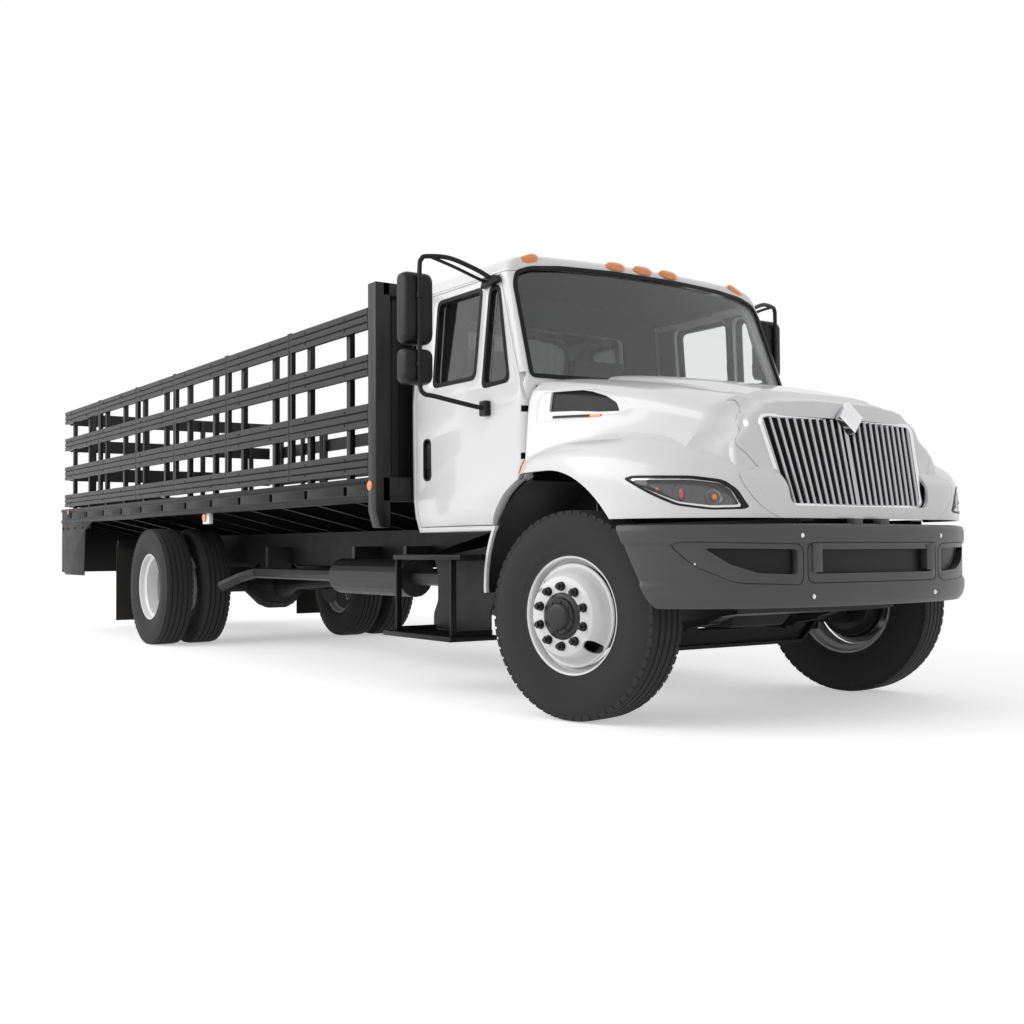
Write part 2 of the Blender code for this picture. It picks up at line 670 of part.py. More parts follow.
def hinge_forms(side):
    """Arms with pins on the shell, and the notches and bores that they take in the door."""
    half_x, half_z = HINGE_ARM
    arms = []
    notches = []
    for z in HINGE_LEVELS:
        arms.append(box((HINGE_X - half_x, min(side * 0.920, side * HINGE_Y), z - half_z),
                        (HINGE_X + half_x, max(side * 0.920, side * HINGE_Y), z + half_z)))
        arms.append(disc("Z", (HINGE_X, side * HINGE_Y), half_x, z - half_z, z + half_z, 8))
        tall = half_z + HINGE_PIN_REACH
        arms.append(disc("Z", (HINGE_X, side * HINGE_Y), HINGE_PIN_R, z - tall, z + tall, 8))
        outer = HINGE_Y + half_x + RUN
        notches.append(box((HINGE_X - 0.015, min(side * 0.9, side * outer), z - half_z - RUN),
                           (-0.4, max(side * 0.9, side * outer), z + half_z + RUN)))
        tall += RUN
        notches.append(disc("Z", (HINGE_X, side * HINGE_Y), HINGE_PIN_R + 0.0007, z - tall, z + tall, 8))
    return arms, notches


def build_cab(truck, white, glass, trim):
    """Shell, roof, glazing and doors, all cut from one cab form so that their joints meet."""
    door_room = cab_form(CAB_WALL + DOOR_ROOM, forward=0.4, low=0.5)
    doors_cut = []
    for _, side in SIDES:
        doorway = prism(door_outline(DOOR_GAP), "Y", *sorted((side * 0.5, side * 1.2)))
        doors_cut.append(cut(doorway, door_room.copy()))
    under = box((-3.0, -CAB_UNDER[0], 0.5), (1.0, CAB_UNDER[0], CAB_UNDER[1]))
    arches_cut = [prism(arch_outline(), "Y", *sorted((side * 0.500, side * 1.2))) for _, side in SIDES]
    front_glass = mirrored(WINDSHIELD)
    half, low, high = REAR_WINDOW
    rear_glass = [(-half, low), (half, low), (half, high), (-half, high)]
    top = box((-3.0, -2.0, ROOF_JOINT), (1.0, 2.0, 3.0))
    below_roof = box((-3.0, -2.0, 0.0), (1.0, 2.0, ROOF_JOINT + SEAT))

    hollow = cut(cab_form(), cab_form(CAB_WALL, low=FLOOR_TOP))
    windshield_hole = prism(rounded(front_glass, 0.020, 1), "X", -1.05, 0.0)
    openings = [windshield_hole, prism(rounded(rear_glass), "X", -2.0, -1.5)]
    reliefs = [disc("Z", (HINGE_X, side * HINGE_Y), HINGE_RELIEF_R, *HINGE_RELIEF, 16)
               for _, side in SIDES]
    shell = cut(hollow.copy(), *doors_cut, *arches_cut, *openings, *reliefs, top, under)
    extras = []
    rear_x, rear_r = ARCH_REAR
    centre = (rear_x, ARCH_TOP - rear_r)
    low_angle = 180 + 180 / pi * (centre[1] - ARCH_BOTTOM) / rear_r
    liner = arc(centre, rear_r + 0.020, 106, low_angle, 8) + arc(centre, rear_r, low_angle, 106, 8)
    sill_angle = 180 - 180 / pi * (CAB_FLOOR + 0.020 - centre[1]) / rear_r
    flange = (arc(centre, rear_r + 0.020, sill_angle, low_angle, 3)
              + arc(centre, rear_r, low_angle, sill_angle, 3))
    for _, side in SIDES:
        extras.append(prism(liner, "Y", *sorted((side * 0.480, side * LINER_Y))))
        extras.append(prism(flange, "Y", *sorted((side * (LINER_Y - 0.01), side * 0.960))))
        extras += hinge_forms(side)[0]
    shell = joined(shell, *extras)
    piece("cab_shell", shell, white, truck)
    piece("cab_roof", cut(hollow.copy(), below_roof, windshield_hole.copy()), white, truck)

    thin = cut(cab_form(0.004), cab_form(0.004 + GLASS))
    shrink = PANE_GAP
    front_pane = [(y - shrink if y > 0 else y + shrink, z + shrink if z < 2 else z - shrink)
                  for y, z in front_glass]
    rear_pane = [(y - shrink if y > 0 else y + shrink, z + shrink if z < 2 else z - shrink)
                 for y, z in rear_glass]
    windshield_prism = prism(rounded(front_pane, 0.020, 1), "X", -1.05, 0.0)
    piece("windshield", common(thin.copy(), windshield_prism), glass, truck)
    piece("rear_window", common(thin.copy(), prism(rounded(rear_pane), "X", -2.0, -1.5)), glass, truck)

    pane_shell = cut(cab_form(GLASS_INSET + SEAT), cab_form(GLASS_INSET + SEAT + GLASS))
    pivots = {}
    for name, side in SIDES:
        reach = sorted((side * 0.5, side * 1.2))
        pivot_at = (HINGE_X, side * HINGE_Y, SILL_TOP)
        pivot = empty(f"door_hinge_{name}", pivot_at, truck)
        pivots[name] = (pivot, pivot_at)
        slab = common(cab_form(), prism(door_outline(), "Y", *reach))
        rebate = common(cab_form(GLASS_INSET), prism(rounded(PANE, 0.02, 1), "Y", *reach))
        door = cut(slab, cab_form(CAB_WALL, forward=0.4, low=0.5), rebate,
                   prism(arch_outline(0.024), "Y", *reach),
                   prism(rounded(WINDOW), "Y", *reach), prism(rounded(VENT), "Y", *reach),
                   *hinge_forms(side)[1])
        piece(f"door_{name}", door, white, pivot, pivot_at)
        inner = [(x + (0.004 if x < -1 else -0.004), z + (0.004 if z < 2 else -0.004)) for x, z in PANE]
        pane = common(pane_shell.copy(), prism(rounded(inner, 0.02, 1), "Y", *reach))
        piece(f"door_glass_{name}", pane, glass, pivot, pivot_at)
    build_mirrors(pivots, trim)
    return pivots


MIRROR_X = -0.950
MIRROR_Y = 1.360
MIRROR_TOP_Z = 2.430
MIRROR_LOW_Z = 1.660


def build_mirrors(pivots, mat):
    """A tall and a short mirror on a tube loop that stands off each door."""
    for name, side in SIDES:
        pivot, pivot_at = pivots[name]
        loop = [(-0.830, side * 1.010, 1.600), (-0.840, side * 1.060, 1.604),
                (-0.930, side * 1.300, MIRROR_LOW_Z), (MIRROR_X, side * MIRROR_Y, MIRROR_LOW_Z + 0.050),
                (MIRROR_X, side * MIRROR_Y, MIRROR_TOP_Z - 0.050), (-0.930, side * 1.310, MIRROR_TOP_Z),
                (-0.840, side * 1.020, 2.340), (-0.835, side * 0.985, 2.315)]
        solids = [tube(loop, 0.013)]
        block = [(-0.870, 1.555), (-0.800, 1.555), (-0.800, 1.640), (-0.870, 1.640)]
        solids.append(prism(block, "Y", *sorted((side * (1.000 + SEAT), side * 1.035))))
        foot = [(-0.900, 2.290), (-0.780, 2.290), (-0.800, 2.330), (-0.880, 2.330)]
        solids.append(prism(foot, "Y", *sorted((side * 0.9565, side * 1.000))))
        for low, high in ((1.990, 2.356), (1.727, 1.975)):
            head = [(-1.060, low + 0.02), (-1.040, low), (-0.960, low + 0.02), (-0.960, high - 0.02),
                    (-1.040, high), (-1.060, high - 0.02)]
            solids.append(prism(head, "Y", *sorted((side * 1.255, side * 1.440))))
        piece(f"mirror_{name}", joined(*solids), mat, pivot, pivot_at)


def build_interior(truck, dark, fabric):
    """Dashboard, steering wheel and seats, seen through the glass."""
    face = CAB_FRONT - CAB_WALL - SEAT
    outline = [(face, 1.200), (face, 1.700), (face - 0.200, 1.715), (face - 0.300, 1.660),
               (face - 0.300, 1.450), (face - 0.180, 1.300), (face - 0.150, 1.200)]
    piece("dashboard", prism(outline, "Y", -0.900, 0.900), dark, truck)
    wheel_y = 0.430
    ring_at = Vector((face - 0.450, wheel_y, 1.620))
    lean = Matrix.Rotation(radians(-60), 4, "Y")
    ring = bmesh.new()
    rows = 16
    loops = []
    for k in range(rows):
        a = 2 * pi * k / rows
        loop = []
        for m in range(5):
            b = 2 * pi * m / 5
            radius = 0.215 + 0.014 * cos(b)
            around = Vector((radius * cos(a), radius * sin(a), 0.014 * sin(b)))
            loop.append(ring.verts.new(ring_at + lean @ around))
        loops.append(loop)
    for k in range(rows):
        for m in range(5):
            a, b = loops[k], loops[(k + 1) % rows]
            ring.faces.new((a[m], a[(m + 1) % 5], b[(m + 1) % 5], b[m]))
    spoke = box((-0.215, -0.018, -0.006), (0.215, 0.018, 0.006))
    spoke.transform(Matrix.Translation(ring_at) @ lean)
    hub = disc("Z", (0.0, 0.0), 0.045, -0.030, 0.012, 16)
    hub.transform(Matrix.Translation(ring_at) @ lean)
    axis = lean @ Vector((0.0, 0.0, -1.0))
    column = tube([tuple(ring_at), tuple(ring_at + axis * 0.300)], 0.025)
    column = cut(column, box((face - 0.300 - SEAT, -1.0, 1.0), (0.0, 1.0, 2.0)))
    piece("steering_wheel", joined(to_mesh(ring), spoke, hub, column), dark, truck)
    floor = FLOOR_TOP + SEAT
    for name, side in SIDES:
        middle = side * 0.430
        outline = [(-1.500, floor), (-1.130, floor), (-1.130, 1.230), (-1.040, 1.250), (-1.030, 1.360),
                   (-1.420, 1.370), (-1.560, 2.080), (-1.625, 2.080), (-1.590, 1.500), (-1.560, 1.250),
                   (-1.500, 1.230)]
        piece(f"seat_{name}", prism(outline, "Y", middle - 0.240, middle + 0.240), fabric, truck)


# Hood

HOOD_ROWS = (
    # X, centre Z, crest half width and Z, shoulder half width and Z, side half width at the bottom
    (-0.700, 1.800, 0.450, 1.790, 0.930, 1.728, 1.000),
    (-0.380, 1.780, 0.430, 1.775, 0.900, 1.705, 0.990),
    (0.200, 1.690, 0.400, 1.690, 0.800, 1.610, 0.930),
    (0.600, 1.590, 0.370, 1.590, 0.680, 1.490, 0.860),
    (0.790, 1.520, 0.350, 1.515, 0.570, 1.440, 0.720),
)
FENDER_ROWS = (
    # X, half width, crown Z, drop from the crown to the outer edge
    (-0.494, BODY_HALF - 0.110, 1.290, 0.040),
    (-0.330, BODY_HALF - 0.030, 1.345, 0.070),
    (-0.050, BODY_HALF, 1.385, 0.100),
    (0.350, BODY_HALF - 0.005, 1.370, 0.130),
    (0.620, BODY_HALF - 0.090, 1.290, 0.110),
    (0.780, BODY_HALF - 0.250, 1.210, 0.070),
    (0.880, BODY_HALF - 0.450, 1.150, 0.040),
    (0.925, BODY_HALF - 0.700, 1.100, 0.030),
)
NOSE_SLOPE = 0.20
GRILLE_TOP = (0.545, 1.448)
GRILLE_LOW = (0.485, 1.023)


def nose_x(y, z):
    """The hood's front face at a height and a distance from the middle."""
    return NOSE_X - 0.045 - NOSE_SLOPE * (z - 1.02) - (0.09 + 0.19 * max(0.0, z - 1.02)) * y * y


def hood_form(inset=0.0):
    """The middle of the hood as a loft from the windshield to the nose."""
    sections = []
    for i, (x, centre, crest_y, crest_z, shoulder_y, shoulder_z, side_y) in enumerate(HOOD_ROWS):
        low = HOOD_BOTTOM - (0.50 if inset else 0.05)
        half = [(0.0, centre - inset), (crest_y, crest_z - inset),
                (shoulder_y - 0.8 * inset, shoulder_z - inset),
                (shoulder_y + 0.05 - inset, shoulder_z - 0.07),
                (side_y - inset, 1.25), (side_y - inset, low)]
        loop = half[::-1] + [(-y, z) for y, z in half[1:]]
        last = i == len(HOOD_ROWS) - 1
        sections.append([(nose_x(y, z) - inset if last else x, y, z) for y, z in loop])
    return loft(sections)


def fender_form(inset=0.0):
    """Fenders and the low nose between them as a loft along the truck."""
    sections = []
    for i, (x, half_y, crown, drop) in enumerate(FENDER_ROWS):
        low = HOOD_BOTTOM - (0.60 if inset else 0.08)
        half = [(half_y - 0.230, crown - inset), (half_y - 0.060 - inset / 2, crown - drop / 2 - inset),
                (half_y - inset, crown - drop - 0.04 - inset), (half_y - inset, low)]
        loop = half[::-1] + [(-y, z) for y, z in half]
        shift = 0.0
        if inset:
            shift = -inset if i == len(FENDER_ROWS) - 1 else (-0.2 if i == 0 else 0.0)
        sections.append([(x + shift, y, z) for y, z in loop])
    return loft(sections)


def grille_outline(grow=0.0):
    """The grille seen from the front, wider at its top, with rounded corners."""
    low_y, low_z = GRILLE_LOW
    top_y, top_z = GRILLE_TOP
    return rounded([(-low_y - grow, low_z - grow), (low_y + grow, low_z - grow),
                    (top_y + grow, top_z + grow), (-top_y - grow, top_z + grow)], 0.04)


LAMP = [(0.468, 1.148), (0.510, 1.160), (0.735, 1.154), (0.812, 1.136), (0.844, 1.093), (0.866, 1.004),
        (0.792, 1.000), (0.695, 1.021), (0.583, 1.081)]


def build_hood(truck, white, metal, clear):
    """The tilting hood with its fenders, grille and lamps."""
    pivot_at = (NOSE_HINGE[0], 0.0, NOSE_HINGE[1])
    pivot = empty("hood_hinge", pivot_at, truck)
    outer = joined(hood_form(), fender_form())
    inner = joined(hood_form(HOOD_WALL), fender_form(HOOD_WALL))
    cutters = [cab_form(-HOOD_GAP), box((-2.0, -2.0, 0.0), (CAB_FRONT + HOOD_GAP, 2.0, 3.0)),
               box((-2.0, -2.0, 0.0), (2.0, 2.0, HOOD_BOTTOM)),
               prism(grille_outline(), "X", 0.55, 1.20)]
    for _, side in SIDES:
        cutters.append(prism(arch_outline(), "Y", *sorted((side * 0.9, side * 1.3))))
        opening = [(-0.425, 1.487), (0.100, 1.487), (0.215, 1.510), (0.110, 1.590), (-0.060, 1.630),
                   (-0.380, 1.641), (-0.425, 1.600)]
        cutters.append(prism(opening, "Y", *sorted((side * 0.7, side * 1.2))))
    skin = cut(outer, inner)
    hood = cut(skin, *cutters)
    pockets = []
    lamps = []
    for name, side in SIDES:
        reach = sorted((side * 0.60, side * 1.30))
        pockets.append(prism(rounded(LAMP, 0.012, 1), "Y", *reach))
        glass = cut(fender_form(0.004), fender_form(0.016))
        grow = [(x, z) for x, z in rounded(LAMP, 0.012, 1)]
        middle = Vector((sum(x for x, _ in grow) / len(grow), sum(z for _, z in grow) / len(grow)))
        small = []
        for x, z in grow:
            away = (Vector((x, z)) - middle).normalized() * PANE_GAP
            small.append((x - away.x, z - away.y))
        lamps.append((name, common(glass, prism(small, "Y", *reach))))
    hood = cut(hood, *pockets)
    piece("hood", hood, white, pivot, pivot_at)
    for name, lamp in lamps:
        piece(f"headlamp_{name}", lamp, clear, pivot, pivot_at)

    bars = []
    count = 11
    for k in range(-count, count + 1):
        share = k / (count + 0.5)
        low_y, high_y = share * GRILLE_LOW[0], share * GRILLE_TOP[0]
        rows = []
        for y, z in ((low_y, GRILLE_LOW[1] + 0.006), (high_y, GRILLE_TOP[1] - 0.006)):
            x = nose_x(y, z)
            w = 0.010 if k else 0.014
            rows.append([(x - 0.032, y - w, z), (x - 0.006, y - w, z), (x + 0.002, y, z),
                         (x - 0.006, y + w, z), (x - 0.032, y + w, z)])
        bars.append(loft(rows))
    slices = []
    for k in range(-3, 4):
        corners = [(k / 3 * half, z) for half, z in (GRILLE_LOW, GRILLE_TOP)]
        front = [(nose_x(y, z) - 0.030, y, z) for y, z in corners]
        slices.append(front + [(x - 0.015, y, z) for x, y, z in reversed(front)])
    plate = loft(slices)
    insert = common(joined(plate, *bars), prism(grille_outline(-PANE_GAP), "X", 0.55, 1.20))
    piece("grille", insert, metal, pivot, pivot_at)


# Bumper

BUMPER_ROWS = 7
# Openings of the bumper: its ends from the side, its intake and right lamp from the front
BUMPER_END = [(0.0, 0.5), (0.640, 0.5), (0.430, 1.0), (0.0, 1.0)]
BUMPER_INTAKE = [(-0.422, 0.712), (0.422, 0.712), (0.422, 0.822), (-0.422, 0.822)]
BUMPER_LENS = [(0.508, 0.710), (0.700, 0.718), (0.820, 0.758), (0.918, 0.830), (0.508, 0.824)]
BRACKET_W = 0.060
BRACKET_LOW = 0.720
BRACKET_HIGH = 0.850
LUG_Y = 0.095
LUG_X = (0.905, 0.950)
SHELF_HALF = 0.420
SHELF_Z = 0.905


def bumper_plan(t, inset):
    """The bumper seen from above, t from 0 at the middle to 1 at its end."""
    a = t * pi / 2 * 0.93
    y = (BUMPER_HALF - inset) * sin(a) ** (2 / 2.6)
    x = 0.250 + (BUMPER_FRONT - 0.250 - inset) * cos(a) ** (2 / 2.2)
    return x, y


def build_bumper(truck, mat):
    """A swept bumper with three openings and two hood lugs."""
    sections = []
    for k in range(-BUMPER_ROWS, BUMPER_ROWS + 1):
        side = 1 if k >= 0 else -1
        t = abs(k) / BUMPER_ROWS
        rows = ((0.030, BUMPER_TOP), (0.000, BUMPER_TOP - 0.030), (0.000, 0.850), (0.010, 0.820),
                (0.010, 0.690), (0.000, 0.660), (0.025, BUMPER_BOTTOM))
        front = [(bumper_plan(t, d), z) for d, z in rows]
        back = [(bumper_plan(t, d + BUMPER_WALL), z) for d, z in reversed(rows)]
        sections.append([(x, side * y, z) for (x, y), z in front + back])
    form = loft(sections)
    cutters = [prism(BUMPER_END, "Y", -1.3, 1.3), prism(rounded(BUMPER_INTAKE), "X", 0.5, 1.2)]
    for _, side in SIDES:
        cutters.append(prism([(side * y, z) for y, z in rounded(BUMPER_LENS, 0.015)], "X", 0.5, 1.2))
    bumper = cut(form, *cutters)
    solids = []
    half = BRACKET_W / 2
    for _, side in SIDES:
        y = side * (FRAME_HALF - half)
        solids.append(box((RAIL_FRONT + SEAT, y - half, BRACKET_LOW),
                          (BUMPER_FRONT - 0.025, y + half, BRACKET_HIGH)))
        y = side * LUG_Y
        solids.append(box((LUG_X[0], y - half, SHELF_Z), (LUG_X[1], y + half, HOOD_BOTTOM - SEAT)))
    solids.append(box((0.890, -SHELF_HALF, SHELF_Z - 0.015), (0.975, SHELF_HALF, SHELF_Z + 0.003)))
    piece("front_bumper", joined(bumper, *solids), mat, truck)


# Chassis side pieces

TANKS = {
    # name: Y, Z, radius, rear X, front X, facets, strap Xs, strap half width, strap bottom, strap top
    "fuel_tank": (0.800, 0.660, 0.290, -3.500, -2.250, 24, (-2.500, -3.250), 0.030, 0.620, 0.900),
    "air_tank": (-0.640, 0.560, 0.125, -1.560, -1.020, 20, (-1.150, -1.430), 0.020, 0.600, 0.720),
}
MUFFLER = (-0.640, 0.640, 0.125, -3.300, -2.250)
EXHAUST_STRAPS_X = (-2.400, -3.150, -4.700)
PIPE_R = 0.045
TREADS = (
    # rear X, front X, bottom Z, top Z, inner Y, outer Y
    (-1.700, -0.940, 0.770, 0.800, 0.860, 1.115),
    (-1.740, -0.940, 0.335, 0.365, 0.820, 1.115),
)
STEP_PLATES_X = (-0.980, -1.680)
FLAP_X = -6.940
FLAP_INNER = 0.640
FLAP_Z = (0.170, 0.900)


def between(first, second, side):
    """Two distances from the middle as an ordered pair of Y values on one side."""
    return sorted((side * first, side * second))


def build_chassis_sides(truck, steel, dark, rubber):
    """Tanks, steps, exhaust and mud flaps, each carried by its frame rail."""
    out = FRAME_HALF + SEAT
    mats = {"fuel_tank": steel, "air_tank": dark}
    for name, (y, z, radius, rear, front, facets, places, half, low, high) in TANKS.items():
        tank = disc("X", (y, z), radius, rear, front, facets)
        ends = between(out, abs(y), 1 if y > 0 else -1)
        straps = [box((x - half, ends[0], low), (x + half, ends[1], high)) for x in places]
        piece(name, joined(tank, *straps), mats[name], truck, smooth=True)

    for name, side in SIDES:
        solids = []
        for rear, front, low, high, inner, outer in TREADS:
            ends = between(inner, outer, side)
            solids.append(box((rear, ends[0], low), (front, ends[1], high)))
        for x in STEP_PLATES_X:
            plate = [(side * out, 0.740), (side * out, 0.930), (side * 0.900, 0.790), (side * 1.105, 0.790),
                     (side * 1.105, 0.345), (side * 0.830, 0.345), (side * 0.830, 0.720)]
            solids.append(prism(plate, "X", x - 0.008, x + 0.008))
        piece(f"step_{name}", joined(*solids), dark, truck)

    y, z, radius, rear, front = MUFFLER
    muffler = disc("X", (y, z), radius, rear, front, 20)
    pipe = tube([(rear + 0.010, y, z), (-4.900, y, z), (-5.100, -0.700, 0.600),
                 (-5.250, -0.820, 0.520)], PIPE_R)
    lead = tube([(front - 0.010, y, z), (-1.850, y, z), (-1.800, -0.560, 0.650)], PIPE_R)
    straps = [box((x - 0.020, y, 0.650), (x + 0.020, -out, 0.850)) for x in EXHAUST_STRAPS_X]
    piece("exhaust", joined(muffler, pipe, lead, *straps), steel, truck, smooth=True)

    outer = DECK_HALF - 0.019
    for name, side in SIDES:
        ends = between(FLAP_INNER, outer, side)
        flap = box((FLAP_X - 0.006, ends[0], FLAP_Z[0]), (FLAP_X + 0.006, ends[1], FLAP_Z[1]))
        plate = [(side * out, 0.800), (side * (outer - 0.010), 0.870), (side * (outer - 0.010), 0.920),
                 (side * out, 0.950)]
        hanger = prism(plate, "X", FLAP_X + 0.005, FLAP_X + 0.030)
        piece(f"mud_flap_{name}", joined(flap, hanger), rubber, truck)


# Load bed

SKIRT = [
    # X, Z of the plate under the rear end of each side rail
    (DECK_REAR + 1.170, 1.150),
    (DECK_REAR + 1.170, 1.131),
    (DECK_REAR + 0.886, 1.036),
    (DECK_REAR + 0.850, 0.575),
    (DECK_REAR + 0.150, 0.575),
    (DECK_REAR, 0.640),
    (DECK_REAR, 1.150),
]
APRON_BOTTOM = 0.600
POCKET_FLOOR = 0.020


def stake_places():
    """X of each stake along one side."""
    return [FIRST_STAKE - STAKE_PITCH * k for k in range(STAKES)]


def build_deck(truck, mat):
    """Floor, side rails with stake pockets, tapered cross sills and the rear apron."""
    rail_in = DECK_HALF - SIDE_RAIL_W
    floor_low = DECK_TOP - DECK_PLATE
    floor_half = DECK_HALF - 0.010
    solids = [box((DECK_REAR, -floor_half, floor_low), (DECK_FRONT, floor_half, DECK_TOP))]
    cutters = []
    for _, side in SIDES:
        low, high = sorted((side * rail_in, side * DECK_HALF))
        solids.append(box((DECK_REAR, low, SIDE_RAIL_BOTTOM), (DECK_FRONT, high, DECK_TOP)))
        for x in stake_places():
            reach = STAKE_W / 2 + RUN
            deep = STAKE_T / 2 + RUN
            cutters.append(box((x - reach, side * STAKE_Y - deep, SIDE_RAIL_BOTTOM + POCKET_FLOOR),
                               (x + reach, side * STAKE_Y + deep, DECK_TOP + 0.1)))
        solids.append(prism(SKIRT, "Y", *sorted((side * (DECK_HALF - 0.019), side * (DECK_HALF - 0.009)))))
    for x in stake_places():
        sill_end = rail_in + 0.031
        sill = mirrored([(sill_end, floor_low + 0.002), (sill_end, SIDE_RAIL_BOTTOM + 0.010),
                         (FRAME_HALF + 0.020, RAIL_TOP + SEAT)])
        solids.append(prism(sill, "X", x - 0.025, x + 0.025))
    solids.append(box((DECK_REAR, -floor_half, APRON_BOTTOM),
                      (DECK_REAR + 0.012, floor_half, DECK_TOP - 0.010)))
    piece("deck", cut(joined(*solids), *cutters), mat, truck)


def build_bulkhead(truck, mat):
    """Headboard: two posts with tapered feet, a top tube and a recessed sheet."""
    depth = BULKHEAD_FRONT - BULKHEAD_REAR
    sheet_x = BULKHEAD_REAR + 0.3 * depth
    rib_x = BULKHEAD_REAR + 0.8 * depth
    post_in = DECK_HALF - POST_W
    panel_half = DECK_HALF - POST_W / 2
    foot_top = BULKHEAD_FOOT + FOOT_H
    sheet_low = DECK_TOP - 0.010
    sheet_high = BULKHEAD_TOP - TOP_TUBE_H + 0.030
    solids = []
    for _, side in SIDES:
        post = [(side * post_in, foot_top), (side * DECK_HALF, foot_top),
                (side * DECK_HALF, BULKHEAD_TOP), (side * post_in, BULKHEAD_TOP)]
        solids.append(prism(post, "X", BULKHEAD_REAR, BULKHEAD_FRONT))
        foot = [(side * post_in, foot_top + 0.001), (side * DECK_HALF, foot_top + 0.001),
                (side * (DECK_HALF - FOOT_TAPER), BULKHEAD_FOOT), (side * post_in, BULKHEAD_FOOT)]
        solids.append(prism(foot, "X", BULKHEAD_REAR, BULKHEAD_FRONT))
    solids.append(box((BULKHEAD_REAR, -panel_half, BULKHEAD_TOP - TOP_TUBE_H),
                      (BULKHEAD_FRONT, panel_half, BULKHEAD_TOP)))
    solids.append(box((BULKHEAD_REAR, -panel_half, SIDE_RAIL_BOTTOM), (BULKHEAD_FRONT, panel_half, DECK_TOP)))
    solids.append(box((sheet_x, -panel_half, sheet_low), (sheet_x + SHEET_T, panel_half, sheet_high)))
    for y in (-RIB_Y, 0.0, RIB_Y):
        solids.append(box((sheet_x, y - RIB_HALF, sheet_low), (rib_x, y + RIB_HALF, sheet_high)))
    piece("bulkhead", joined(*solids), mat, truck)


SLATS = (
    # low Z, high Z
    (1.299, 1.418),
    (1.573, 1.713),
    (1.885, 2.014),
    (2.169, RACK_TOP),
)
RIB_DEPTH = 0.010
RACK_END = 0.012
REAR_STAKES_Y = (-0.900, -0.320, 0.320, 0.900)


def slat_outline(low, high, face, side):
    """Section of a slat with three raised ribs on its outer side."""
    back = face - SLAT_T
    rib = (high - low) / 3.4
    gap = 0.2 * rib
    front = []
    for k in range(3):
        z = low + k * (rib + gap)
        front += [(face, z), (face, z + rib)]
        if k < 2:
            front.append((face - RIB_DEPTH, z + rib + gap / 2))
    return [(side * y, z) for y, z in [(back, high), (back, low)] + front]


def build_racks(truck, mat):
    """Side racks of four ribbed slats on twelve stakes, and the rear rack."""
    face = STAKE_Y + STAKE_T / 2 + SLAT_T - 0.002
    foot = SIDE_RAIL_BOTTOM + POCKET_FLOOR + SEAT
    places = stake_places()
    front_end = DECK_FRONT - RACK_END
    rear_end = DECK_REAR + 0.110
    for name, side in SIDES:
        solids = []
        for low, high in SLATS:
            solids.append(prism(slat_outline(low, high, face, side), "X", rear_end, front_end))
        for x in places:
            y = side * STAKE_Y
            solids.append(box((x - STAKE_W / 2, y - STAKE_T / 2, foot),
                              (x + STAKE_W / 2, y + STAKE_T / 2, RACK_TOP - 0.010)))
        piece(f"rack_{name}", joined(*solids), mat, truck)
    solids = []
    half = face - SLAT_T - 0.040
    x = DECK_REAR + 0.045
    for low, high in SLATS:
        outline = [(x - SLAT_T / 2, low), (x + SLAT_T / 2, low), (x + SLAT_T / 2, high),
                   (x - SLAT_T / 2, high)]
        solids.append(prism(outline, "Y", -half, half))
    for y in REAR_STAKES_Y:
        solids.append(box((x + SLAT_T / 2 - 0.002, y - STAKE_W / 2, DECK_TOP + SEAT),
                          (x + SLAT_T / 2 + STAKE_T, y + STAKE_W / 2, RACK_TOP - 0.010)))
    piece("rack_rear", joined(*solids), mat, truck)


def build():
    """Clear the scene and build every piece."""
    for old in list(bpy.data.objects):
        bpy.data.objects.remove(old)
    white = finish("white_paint", (0.80, 0.80, 0.80), 0.25)
    black = finish("black_paint", (0.020, 0.020, 0.022), 0.45)
    dark = finish("dark_cast", (0.050, 0.050, 0.050), 0.60, 0.3)
    grey = finish("grey_plastic", (0.090, 0.090, 0.095), 0.40)
    trim = finish("black_plastic", (0.015, 0.015, 0.015), 0.35)
    rubber = finish("rubber", (0.018, 0.018, 0.018), 0.85)
    steel = finish("white_wheel_paint", (0.75, 0.75, 0.76), 0.30)
    tank = finish("bare_metal", (0.60, 0.60, 0.62), 0.30, 1.0)
    chrome = finish("chrome", (0.75, 0.75, 0.77), 0.12, 1.0)
    glass = finish("dark_glass", (0.03, 0.03, 0.03), 0.05, 0.0, 0.5)
    clear = finish("clear_lens", (0.80, 0.80, 0.80), 0.05, 0.0, 0.5)
    fabric = finish("seat_cloth", (0.100, 0.100, 0.110), 0.90)

    truck = empty("truck", (-(BUMPER_FRONT + DECK_REAR) / 2, 0.0, 0.0), None)
    build_frame(truck, black)
    build_springs(truck, dark)
    build_front_axle(truck, dark)
    build_rear_axle(truck, dark)
    build_drive_line(truck, dark, dark)
    pivots = build_steering(truck, dark)
    build_wheels(truck, pivots, rubber, steel)
    build_cab(truck, white, glass, trim)
    build_interior(truck, trim, fabric)
    build_hood(truck, white, chrome, clear)
    build_bumper(truck, grey)
    build_chassis_sides(truck, tank, black, rubber)
    build_deck(truck, black)
    build_bulkhead(truck, black)
    build_racks(truck, black)


build()
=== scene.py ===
"""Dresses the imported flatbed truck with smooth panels, tread, wheels, lamps, racks, glass and finishes."""
import json
import logging
from collections.abc import Callable, Sequence
from dataclasses import dataclass
from enum import Enum
from math import cos, pi, radians, sin

import bmesh
import bpy
from mathutils import Matrix, Vector

